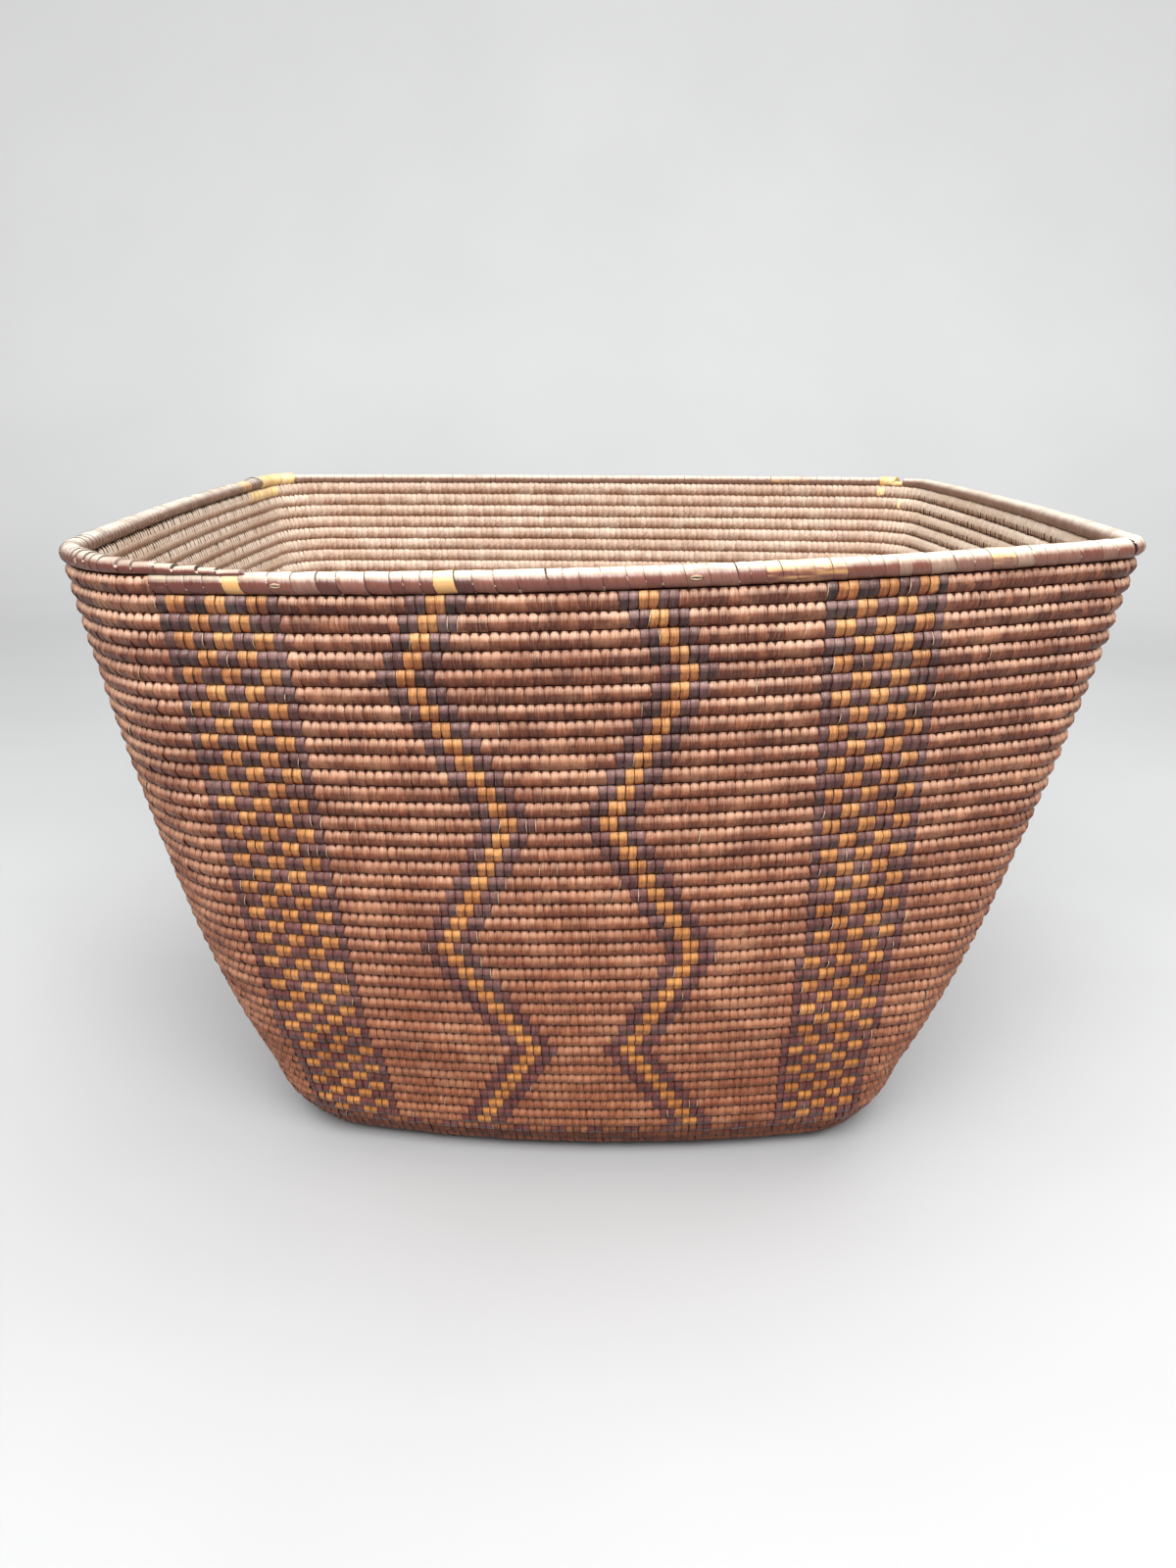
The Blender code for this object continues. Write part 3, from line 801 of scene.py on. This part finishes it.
class Tree(Nodes):
    """A Geometry Nodes tree with named inputs."""

    def __init__(self, name):
        self.tree = bpy.data.node_groups.new(name, "GeometryNodeTree")
        for way in ("INPUT", "OUTPUT"):
            self.tree.interface.new_socket("Geometry", in_out=way, socket_type="NodeSocketGeometry")
        self.start = self.tree.nodes.new("NodeGroupInput")
        self.identifiers = {}

    def size(self, name, kind, default=None):
        socket = self.tree.interface.new_socket(name, in_out="INPUT", socket_type="NodeSocket" + kind)
        if default is not None:
            socket.default_value = default
        self.identifiers[name] = socket.identifier
        return self.start.outputs[name]

    def read(self, name, kind="FLOAT_VECTOR"):
        return self.out("GeometryNodeInputNamedAttribute", {"Name": name}, data_type=kind)

    def chance(self, low, high, seed, more):
        """A random number for each point. more sets one use of the seed apart from another."""
        inputs = {2: low, 3: high, "Seed": self.maths("ADD", seed, float(more))}
        return self.node("FunctionNodeRandomValue", inputs, data_type="FLOAT").outputs[1]

    def vector(self, operation, a, b):
        """Vector maths. b is a number for SCALE, and the result is one for DOT_PRODUCT."""
        inputs = {0: a, "Scale" if operation == "SCALE" else 1: b}
        made = self.node("ShaderNodeVectorMath", inputs, operation=operation)
        return made.outputs["Value" if operation == "DOT_PRODUCT" else "Vector"]

    def laid(self, points, shape, facing, along, lean, scale, chosen=True):
        """A shape on each chosen point, its front facing and its width along, leant by an angle."""
        axes = {"primary_axis": "Z", "secondary_axis": "X"}
        rotation = self.out("FunctionNodeAxesToRotation", {0: facing, 1: along}, **axes)
        spin = self.out("FunctionNodeEulerToRotation", {0: self.out("ShaderNodeCombineXYZ", {"Z": lean})})
        rotation = self.out("FunctionNodeRotateRotation", {0: rotation, 1: spin}, rotation_space="LOCAL")
        shape = self.node("GeometryNodeObjectInfo", {"Object": shape}, transform_space="ORIGINAL")
        inputs = {
            "Points": points, "Selection": chosen, "Instance": shape.outputs["Geometry"],
            "Rotation": rotation, "Scale": scale,
        }
        return self.out("GeometryNodeRealizeInstances", {0: self.out("GeometryNodeInstanceOnPoints", inputs)})

    def moved(self, geometry, offset):
        return self.out("GeometryNodeSetPosition", {"Geometry": geometry, "Offset": offset})

    def uneven(self, geometry, scale, detail, amount):
        """The geometry with its points moved by noise, up to an amount each way."""
        inputs = {"Vector": self.out("GeometryNodeInputPosition"), "Scale": scale, "Detail": detail}
        noise = self.node("ShaderNodeTexNoise", inputs).outputs["Color"]
        offset = self.vector("SCALE", self.vector("SUBTRACT", noise, (0.5, 0.5, 0.5)), amount)
        return self.moved(geometry, self.vector("SCALE", offset, 2.0))

    def coloured(self, geometry, material):
        return self.out("GeometryNodeSetMaterial", {"Geometry": geometry, "Material": material})

    def joined(self, *parts):
        made = self.node("GeometryNodeJoinGeometry")
        for part in parts:
            self.tree.links.new(part, made.inputs[0])
        return made.outputs[0]

    def finish(self, geometry):
        end = self.tree.nodes.new("NodeGroupOutput")
        self.tree.links.new(geometry, end.inputs[0])


def build_sewing_tree():
    """Sets a fold outside and a splint inside on every point of a course, round its foundation."""
    tree = Tree("sewn course")
    relief = tree.size("Fold Relief", "Float", FOLD_RELIEF)
    height = tree.size("Fold Height", "Float", FOLD_HEIGHT)
    splint_relief = tree.size("Splint Relief", "Float", SPLINT_RELIEF)
    foundation_height = tree.size("Foundation Height", "Float", FOUNDATION_HEIGHT)
    slant = tree.size("Splint Slant", "Float", math.radians(SPLINT_SLANT))
    unevenness = tree.size("Unevenness", "Float", SEWING_UNEVENNESS)
    seed = tree.size("Seed", "Int", 1)
    red_fold, square_fold, splint, sliver = (tree.size(name, "Object") for name in SHAPES)
    points = tree.start.outputs["Geometry"]
    outward = tree.read("outward")
    coil_way = tree.read("coil_way")
    tint = {"Geometry": points, "Name": "tint", "Value": tree.chance(0.0, 1.0, seed, 0)}
    tinted = tree.out("GeometryNodeStoreNamedAttribute", tint, data_type="FLOAT", domain="POINT")

    def lay(kind, shape, depth, widths, leans, material, more, share=1.0):
        """One sort of strip: outside, on a share of the points of a kind, or inside on every point."""
        lean = tree.chance(*leans, seed, more + 1)
        if kind is None:
            facing, along = (tree.vector("SCALE", way, -1.0) for way in (outward, coil_way))
            lean = tree.maths("ADD", lean, slant)
            chosen = True
        else:
            facing, along = outward, coil_way
            inputs = {2: tree.read("kind", "INT"), 3: kind}
            chosen = tree.out("FunctionNodeCompare", inputs, data_type="INT", operation="EQUAL")
        if share < 1.0:
            lucky = tree.maths("LESS_THAN", tree.chance(0.0, 1.0, seed, more + 5), share)
            chosen = tree.out("FunctionNodeBooleanMath", {0: chosen, 1: lucky}, operation="AND")
        wide = tree.product(tree.read("wide", "FLOAT"), tree.chance(*widths, seed, more + 2))
        tall = tree.product(height, tree.read("tall", "FLOAT"), tree.chance(0.96, 1.04, seed, more + 3))
        proud = tree.product(depth, tree.chance(0.94, 1.06, seed, more + 4))
        scale = tree.out("ShaderNodeCombineXYZ", {"X": wide, "Y": tall, "Z": proud})
        return tree.coloured(tree.laid(tinted, shape, facing, along, lean, scale, chosen), material)

    parts = [
        lay(RED, red_fold, relief, (0.93, 1.16), (-0.09, 0.05), RED_BARK, 10),
        lay(DARK, square_fold, relief, (0.98, 1.06), (-0.05, 0.04), DARK_BARK, 20),
        lay(YELLOW, square_fold, relief, (0.96, 1.03), (-0.04, 0.04), YELLOW_GRASS, 30),
        lay(SMALL_LIGHT, square_fold, relief, (0.94, 1.05), (-0.06, 0.06), LIGHT_ROOT, 40),
        lay(PLAIN_ROOT, splint, splint_relief, (0.80, 0.98), (0.1, 0.3), PLAIN_SPLINT, 50),
        lay(DARK, sliver, relief, (0.95, 1.05), (-0.15, 0.15), PALE_SLIVER, 80, 0.09),
        lay(RED, sliver, relief, (0.95, 1.05), (-0.15, 0.15), PALE_SLIVER, 90, 0.012),
        lay(None, splint, splint_relief, (0.98, 1.12), (-0.08, 0.08), INSIDE_SPLINT, 60),
    ]
    curve = tree.out("GeometryNodeMeshToCurve", {0: points})
    curve = tree.out("GeometryNodeSetCurveNormal", {"Curve": curve, "Normal": outward}, mode="FREE")
    ring = tree.out("GeometryNodeCurvePrimitiveCircle", {"Resolution": FOUNDATION_SIDES, "Radius": 1.0})
    half_thick = tree.product(splint_relief, FOUNDATION_SHARE)
    squeeze = tree.out("ShaderNodeCombineXYZ", {"X": half_thick, "Y": foundation_height, "Z": 1.0})
    ring = tree.out("GeometryNodeTransform", {"Geometry": ring, "Scale": squeeze})
    core = tree.out("GeometryNodeCurveToMesh", {"Curve": curve, "Profile Curve": ring, "Fill Caps": True})
    sewn = tree.uneven(tree.joined(*parts), 420.0, 1.0, unevenness)
    tree.finish(tree.joined(tree.coloured(core, FOUNDATION_ROOT_SHADE), sewn))
    return tree


SEWING = build_sewing_tree()


def build_wrapping_tree():
    """Sets a wrap on every point along the rim, as wide, tall and thick as the point says."""
    tree = Tree("wrapped coil")
    shape = tree.size("Wrap", "Object")
    unevenness = tree.size("Unevenness", "Float", WRAP_UNEVENNESS)
    bark = tree.size("Bark", "Material")
    seed = tree.size("Seed", "Int", 1)
    points = tree.start.outputs["Geometry"]
    outward = tree.read("outward")
    coil_way = tree.read("coil_way")
    lean = tree.chance(-0.04, 0.05, seed, 1)
    wraps = tree.laid(points, shape, outward, coil_way, lean, tree.read("wrap_size"))
    # A twisted wrap slides along the coil, one way on its top and outside and the other way opposite
    slanting = tree.vector("ADD", tree.vector("CROSS_PRODUCT", outward, coil_way), outward)
    from_centre = tree.vector("SUBTRACT", tree.out("GeometryNodeInputPosition"), tree.read("centre"))
    reach = tree.vector("DOT_PRODUCT", from_centre, slanting)
    slid = tree.vector("SCALE", coil_way, tree.product(reach, tree.read("twist", "FLOAT")))
    wraps = tree.uneven(tree.moved(wraps, slid), 160.0, 2.0, unevenness)
    tree.finish(tree.coloured(wraps, bark))
    return tree


WRAPPING = build_wrapping_tree()


def grown(piece, tree, inputs):
    """The tree's result on a piece, as a plain mesh under the piece's name."""
    modifier = piece.modifiers.new("grow", "NODES")
    modifier.node_group = tree.tree
    for name, value in inputs.items():
        modifier[tree.identifiers[name]] = value
    bpy.context.view_layer.update()
    depsgraph = bpy.context.evaluated_depsgraph_get()
    mesh = bpy.data.meshes.new_from_object(piece.evaluated_get(depsgraph), depsgraph=depsgraph)
    old = piece.data
    piece.modifiers.clear()
    piece.data = mesh
    bpy.data.meshes.remove(old)
    mesh.name = piece.name
    return piece


def course_points(name, level, way, kinds, wide, tall=None):
    """The points that a course's strips sit on. tall is each one's share of the fold's height, or 1."""
    points, coil_way, _, outward = frames(level, way)
    tall = np.ones(len(points)) if tall is None else tall
    edges = [(i, i + 1) for i in range(len(points) - 1)]
    return marked_points(
        name, points, edges, tall=tall, outward=outward, coil_way=coil_way, kind=kinds, wide=wide
    )


def make_wall():
    for turn in range(WALL_TURNS):
        ways, kinds, wide = turn_stitches(turn)
        if turn == WALL_TURNS - 1:
            kinds = np.where(ways > WIDE_WRAPS_FROM, WIDE_BARK, kinds)
        piece = course_points(f"sewn_course_{turn + 1:02d}", level_at(turn, ways), ways, kinds, wide)
        grown(piece, SEWING, {**SHAPES, "Seed": turn + 1})
        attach(piece, "root")
        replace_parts(piece, f"wall_course_{turn + 1:02d}")


def make_floor():
    for index in range(FLOOR_TURNS):
        turn = index - FLOOR_TURNS
        ways = np.linspace(TURN_START, TURN_START + ALL_ROUND, 801)
        lengths = run_lengths(surface(level_at(turn, ways), ways))
        count = int(lengths[-1] / STITCH)
        ways = np.interp((np.arange(count) + 0.5) / count * lengths[-1], lengths, ways)
        kinds = np.full(count, PLAIN_ROOT)
        wide = np.full(count, lengths[-1] / count)
        level = level_at(turn, ways)
        spacing = np.linalg.norm(surface(level + 0.5, ways) - surface(level - 0.5, ways), axis=1)
        piece = course_points(f"sewn_floor_{index + 1}", level, ways, kinds, wide, spacing / FLOOR_PITCH)
        flat = {
            "Fold Height": FLOOR_PITCH,
            "Splint Relief": FLOOR_RELIEF,
            "Foundation Height": 0.6 * float(spacing.max()),
        }
        grown(piece, SEWING, {**SHAPES, **flat, "Seed": FLOOR_SEED + index})
        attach(piece, "root")
        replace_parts(piece, f"floor_coil_{index + 1}")
    make_core()


def make_core():
    """The middle of the floor: straight lengths of coil side by side, inside the first coil round them."""
    ways = np.linspace(0.0, ALL_ROUND, 801)
    outline = surface(level_at(-FLOOR_TURNS, ways) - 0.55, ways)
    back = float(outline[:, 1].max())
    front = float(outline[:, 1].min())
    pitch = (back - front) / CORE_LENGTHS
    points = []
    edges = []
    for length in range(CORE_LENGTHS):
        y = front + (length + 0.5) * pitch
        inner_y = y - math.copysign(0.5 * pitch, y)
        ends = []
        for side in (-1, 1):
            half = outline[outline[:, 0] * side > 0.0]
            half = half[np.argsort(half[:, 1])]
            ends.append(float(np.interp(inner_y, half[:, 1], half[:, 0])))
        start, end = ends
        count = int((end - start) / STITCH)
        first = len(points)
        shares = [(i + 0.5) / count for i in range(count)]
        points += [(start + share * (end - start), y, 0.5 * FLOOR_THICKNESS) for share in shares]
        edges += [(i, i + 1) for i in range(first, len(points) - 1)]
    count = len(points)
    piece = marked_points(
        "sewn_floor_core", points, edges, tall=np.ones(count), outward=np.tile((0.0, 0.0, -1.0), (count, 1)),
        coil_way=np.tile((1.0, 0.0, 0.0), (count, 1)), kind=np.full(count, PLAIN_ROOT),
        wide=np.full(count, STITCH),
    )
    flat = {"Fold Height": pitch, "Splint Relief": FLOOR_RELIEF, "Foundation Height": 0.9 * pitch}
    grown(piece, SEWING, {**SHAPES, **flat, "Seed": CORE_SEED})
    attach(piece, "root")
    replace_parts(piece, "floor_core")


# The rim's path, and the wraps along it

RIM_WAYS = TURN_START + np.linspace(0.0, ALL_ROUND, 1601)
RIM_LENGTHS = run_lengths(surface(level_at(RIM_TURN, RIM_WAYS), RIM_WAYS))
RIM_END = float(RIM_LENGTHS[-1])


def rim_length_at(way):
    return float(np.interp(way, RIM_WAYS, RIM_LENGTHS))


def rim_way_at(length):
    return np.interp(length, RIM_LENGTHS, RIM_WAYS)


def rim_half_thick(size):
    """Half the rim's depth through the wall, which thins less than its height does."""
    return 0.5 * RIM_THICKNESS * (0.45 + 0.55 * size)


NOTCH_START = rim_length_at(3.0) + NOTCH_FROM_CORNER
NOTCH_END = NOTCH_START + NOTCH_LENGTH
SPLICE = rim_length_at(5.0) + SPLICE_FROM_CORNER


def rim_size(length):
    """The rim's size, 1 at the front, thinner at the back, and drawn out to its tip at the very end."""
    size = np.interp(rim_way_at(length), RIM_SIZE_WAYS, RIM_SIZES)
    left = np.clip((RIM_END - length) / RIM_TAPER_LENGTH, 0.0, 1.0)
    past = (np.asarray(length) - SPLICE) / SPLICE_SWELL_LENGTH
    swell = np.where(past >= 0.0, 1.0 + SPLICE_SWELL * np.clip(1.0 - past, 0.0, 1.0), 1.0)
    return size * swell * (RIM_TIP_SHARE + (1.0 - RIM_TIP_SHARE) * left)


def spaced_wraps(start, end, seed):
    """Middles and widths of the wraps that fill a length of the rim, some of them narrow."""
    chance = np.random.default_rng(seed)
    edges = [start]
    while edges[-1] < end:
        wide = np.interp(rim_way_at(edges[-1]), WRAP_WAYS, WRAP_WIDTHS)
        wide *= 1.0 + WRAP_SPREAD * chance.uniform(-1.0, 1.0)
        if chance.random() < NARROW_WRAP_SHARE:
            wide *= NARROW_WRAP
        edges.append(edges[-1] + wide)
    edges = np.array(edges)
    edges = start + (edges - start) * (end - start) / (edges[-1] - start)
    return 0.5 * (edges[1:] + edges[:-1]), np.diff(edges)


def gold_at(lengths):
    gold = np.zeros(len(lengths))
    for start, end, share in GOLD_LENGTHS:
        gold = np.where((lengths > start) & (lengths < end), share, gold)
    return gold


def wrapped_piece(name, points, seed, bark, unevenness=WRAP_UNEVENNESS, **marks):
    """A wrap on every point. worn is 1 where the top is fully pale, with wear and a painted highlight, and
    twist leans the wraps like rope.
    """
    unmarked = {"worn": np.ones(len(points)), "twist": np.zeros(len(points)), "gold": np.zeros(len(points))}
    piece = marked_points(name, points, centre=points, **{**unmarked, **marks})
    return grown(piece, WRAPPING, {"Wrap": WRAP, "Bark": bark, "Seed": seed, "Unevenness": unevenness})


def rim_wraps(name, start, end, seed):
    """Wraps of bark along the rim between two distances along it, more alike near its thin end."""
    middles, wide = spaced_wraps(start, end, seed)
    ways = rim_way_at(middles)
    points, coil_way, up_wall, outward = frames(level_at(RIM_TURN, ways), ways)
    size = rim_size(middles)
    height = -0.5 * COIL_PITCH + 0.5 * RIM_HEIGHT * size
    sizes = np.stack([wide, 0.525 * RIM_HEIGHT * size, rim_half_thick(size)], axis=1)
    chance = np.random.default_rng(seed + 50)
    spread = np.interp(ways, TINT_SPREAD_WAYS, TINT_SPREADS) * chance.normal(0.0, 1.0, len(middles))
    return wrapped_piece(
        name, points + up_wall * height[:, None], seed, RIM_BARK,
        outward=outward, coil_way=coil_way, wrap_size=sizes, gold=gold_at(middles),
        tint=np.clip(USUAL_TINT + spread + np.interp(ways, PALER_WAYS, PALER_SHARES), 0.0, 1.0),
        worn=np.interp(ways, WEAR_AND_SHEEN_WAYS, WEAR_AND_SHEEN_SHARES), twist=np.interp(ways, TWIST_WAYS, TWISTS),
    )


def make_splits():
    """The splits where the rim's bark has opened along its length."""
    material = split_finish()
    for index, (middle, length) in enumerate(BARK_SPLITS):
        way = rim_way_at([middle])
        point, coil_way, up_wall, outward = (vectors[0] for vectors in frames(level_at(RIM_TURN, way), way))
        up = 0.5 * (RIM_HEIGHT - COIL_PITCH) + SPLIT_ABOVE_MIDDLE
        place = point + up_wall * up + outward * 0.495 * RIM_THICKNESS
        steps = (-1.0, -0.6, 0.0, 0.6, 1.0)
        split = strip_shape(f"rim_split_{index + 1}", steps, steps, split_place)
        axes = np.stack([coil_way, up_wall, outward], axis=1) * length
        flat = np.empty(len(split.data.vertices) * 3)
        split.data.vertices.foreach_get("co", flat)
        split.data.vertices.foreach_set("co", (flat.reshape(-1, 3) @ axes.T + place).ravel())
        split.data.materials.append(material)
        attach(split, "root")


def thread_wraps(turn, start, end, tall, thick, lift=0.0):
    """Points and marks of thread wound round a coil between two distances along the rim.

    tall and thick are the winding's half sizes at its start and its end, and lift is how far it sits up."""
    count = max(round((end - start) / THREAD_WIDTH), 1)
    share = (np.arange(count) + 0.5) / count
    ways = rim_way_at(start + share * (end - start))
    points, coil_way, up_wall, outward = frames(level_at(turn, ways), ways)
    wide = np.full(count, THREAD_OVERLAP * (end - start) / count)
    sizes = np.stack([wide, between(*tall, share), between(*thick, share)], axis=1)
    return points + up_wall * lift, coil_way, outward, sizes


def thread_piece(name, windings, seed):
    """One piece of thread from several windings."""
    points, coil_way, outward, sizes = (np.concatenate(parts) for parts in zip(*windings))
    tints = np.random.default_rng(seed).uniform(0.0, 1.0, len(points))
    piece = wrapped_piece(
        name, points, seed, YELLOW_THREAD, THREAD_UNEVENNESS,
        outward=outward, coil_way=coil_way, wrap_size=sizes, tint=tints,
    )
    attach(piece, "root")
    return piece


def make_repairs():
    """The thread in the notch and on the broken end beside it, and the thread over the splice."""
    base = -0.5 * COIL_PITCH
    size = float(rim_size(NOTCH_START))
    full = 0.5 * RIM_HEIGHT * size
    thick = rim_half_thick(size)
    bridge = thread_wraps(
        RIM_TURN, NOTCH_START, NOTCH_END, 2 * [0.55 * NOTCH_BINDING_HEIGHT], 2 * [0.95 * thick],
        base + 0.5 * NOTCH_BINDING_HEIGHT,
    )
    tuft = thread_wraps(
        RIM_TURN, NOTCH_END - 0.002, NOTCH_END + TUFT_LENGTH, (1.10 * full, 1.22 * full),
        (1.12 * thick, 1.16 * thick), base + 1.12 * full,
    )
    coil = (2 * [0.54 * COIL_PITCH], 2 * [0.54 * COIL_THICKNESS])
    spots = [
        thread_wraps(turn, NOTCH_START + at, NOTCH_START + at + THREAD_WIDTH, *coil)
        for turn, at in NOTCH_SPOTS
    ]
    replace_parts(thread_piece("notch_thread", [bridge, tuft, *spots], 221), "rim_notch_binding")
    size = float(rim_size(SPLICE - 0.01))
    full = 0.5 * RIM_HEIGHT * size
    on_rim = thread_wraps(
        RIM_TURN, SPLICE - SPLICE_THREAD_LENGTH, SPLICE - 0.001, 2 * [1.10 * full],
        2 * [1.08 * rim_half_thick(size)], base + full,
    )
    below = thread_wraps(WALL_TURNS - 1, *(SPLICE + at for at in SPLICE_THREAD_BELOW), *coil)
    thread_piece("splice_thread", [on_rim, below], 222)


def make_last_course_wraps():
    """Wide bark on the end of the last course, where it is about to become the rim, one wrap yellow."""
    ways = np.linspace(WIDE_WRAPS_FROM, TURN_START + ALL_ROUND, 400)
    lengths = run_lengths(surface(level_at(WALL_TURNS - 1, ways), ways))
    count = len(LAST_WRAP_TINTS)
    wide = lengths[-1] / count
    ways = np.interp((np.arange(count) + 0.5) * wide, lengths, ways)
    points, coil_way, _, outward = frames(level_at(WALL_TURNS - 1, ways), ways)
    sizes = np.tile((wide, 0.55 * COIL_PITCH, 0.54 * COIL_THICKNESS), (count, 1))
    piece = wrapped_piece(
        "wide_wraps_last_course", points, LAST_COURSE_SEED, RIM_BARK, outward=outward,
        coil_way=coil_way, wrap_size=sizes, tint=LAST_WRAP_TINTS, gold=LAST_WRAP_GOLDS,
    )
    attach(piece, "root")


def make_rim():
    lengths = (
        ("rim_coil_front", 0.0, NOTCH_START),
        ("rim_coil_back", NOTCH_END, SPLICE),
        ("rim_coil_left", SPLICE, RIM_END),
    )
    for index, (node, start, end) in enumerate(lengths):
        piece = rim_wraps("wrapped_" + node, start, end, RIM_SEED + index)
        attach(piece, "root")
        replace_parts(piece, node)


make_wall()
make_floor()
make_rim()
make_last_course_wraps()
make_repairs()
make_splits()
for shape in (*SHAPES.values(), WRAP):
    bpy.data.objects.remove(shape, do_unlink=True)


# Floor, light and camera

FLOOR_HALF_WIDTH = 4.0
FLOOR_FRONT = -3.0
BACKDROP_Y = 2.2
BACKDROP_BEND = 1.0
BACKDROP_TOP = 4.0
LAMPS = (
    ("key", (0.0, -1.45, 1.45), (0.0, 0.0, 0.15), 1.6, 0.9, 46.0),
    ("overhead", (0.08, -0.15, 1.55), (0.0, 0.0, 0.20), 2.6, 1.0, 28.0),
)
WORLD_COLOUR = (1.0, 0.99, 0.98, 1.0)
WORLD_STRENGTH = 0.42
CAMERA_PLACE = (-0.00838, -0.66954, 0.37863)
CAMERA_DOWN = 17.949
CAMERA_RIGHT = 0.556
CAMERA_ROLL = 1.468
CAMERA_LENS = 28.951


def make_stage():
    """A pale floor that turns up into a backdrop, and lights the basket less than its colour would."""
    profile = [(FLOOR_FRONT, 0.0)]
    for angle in np.radians(range(0, 91, 6)).tolist():
        up = BACKDROP_BEND * (1.0 - math.cos(angle))
        profile.append((BACKDROP_Y - BACKDROP_BEND * (1.0 - math.sin(angle)), up))
    profile.append((BACKDROP_Y, BACKDROP_TOP))
    points = [(x, y, z) for y, z in profile for x in (-FLOOR_HALF_WIDTH, FLOOR_HALF_WIDTH)]
    faces = [(2 * i, 2 * i + 1, 2 * i + 3, 2 * i + 2) for i in range(len(profile) - 1)]
    floor = new_mesh_object("floor", points, faces=faces)
    floor.data.polygons.foreach_set("use_smooth", [True] * len(faces))
    finish = Finish("pale_floor")
    cloudy = finish.noise("Object", (3.0, 3.0, 3.0), 3.0)
    finish.colour = finish.ramp(cloudy, ((0.3, (190, 191, 192)), (0.7, (196, 197, 198))))
    y = finish.sides("Object")[1]
    # Painted shade: the floor darkened towards the front, where the key lamp lights it most
    finish.lay((126, 127, 128), y, -0.15, -0.60, 0.40)
    rays = finish.node("ShaderNodeLightPath").outputs
    straight = finish.maths("MAXIMUM", rays["Is Camera Ray"], rays["Is Glossy Ray"])
    straight = finish.maths("MAXIMUM", straight, rays["Is Transmission Ray"])
    finish.colour = finish.mix(straight, (150, 147, 143), finish.colour)
    # Painted glow: for the camera the far floor and backdrop glow, the more the further back they are
    finish.set("Emission Color", painted((236, 237, 238)))
    far_painted_glow = finish.spread(y, 0.3, 2.0, 0.0, 0.34)
    finish.set("Emission Strength", finish.product(far_painted_glow, rays["Is Camera Ray"]))
    floor.data.materials.append(finish.done(0.7))


def add_lamp(name, place, aim, wide, tall, power):
    data = bpy.data.lights.new(name, "AREA")
    data.shape = "RECTANGLE"
    data.size = wide
    data.size_y = tall
    data.energy = power
    lamp = bpy.data.objects.new(name, data)
    lamp.location = place
    direction = np.array(aim, float) - np.array(place, float)
    lamp.rotation_euler = Vector(direction).to_track_quat("-Z", "Y").to_euler()
    bpy.context.scene.collection.objects.link(lamp)


def make_light():
    for lamp in LAMPS:
        add_lamp(*lamp)
    world = bpy.data.worlds.new("studio")
    world.use_nodes = True
    background = world.node_tree.nodes["Background"]
    background.inputs["Color"].default_value = WORLD_COLOUR
    background.inputs["Strength"].default_value = WORLD_STRENGTH
    bpy.context.scene.world = world


def make_camera():
    down = math.radians(CAMERA_DOWN)
    right = math.radians(CAMERA_RIGHT)
    roll = math.radians(CAMERA_ROLL)
    ahead = np.array([math.sin(right) * math.cos(down), math.cos(right) * math.cos(down), -math.sin(down)])
    level = np.array([math.cos(right), -math.sin(right), 0.0])
    above = np.cross(level, ahead)
    across = math.cos(roll) * level + math.sin(roll) * above
    upward = -math.sin(roll) * level + math.cos(roll) * above
    data = bpy.data.cameras.new("photo_view")
    data.lens = CAMERA_LENS
    data.sensor_fit = "VERTICAL"
    data.sensor_height = 36.0
    data.clip_start = 0.01
    camera = bpy.data.objects.new("photo_view", data)
    turned = Matrix([[across[i], upward[i], -ahead[i]] for i in range(3)]).to_4x4()
    camera.matrix_world = Matrix.Translation(CAMERA_PLACE) @ turned
    bpy.context.scene.collection.objects.link(camera)
    bpy.context.scene.camera = camera


make_stage()
make_light()
make_camera()
bpy.context.scene.view_settings.view_transform = "Standard"
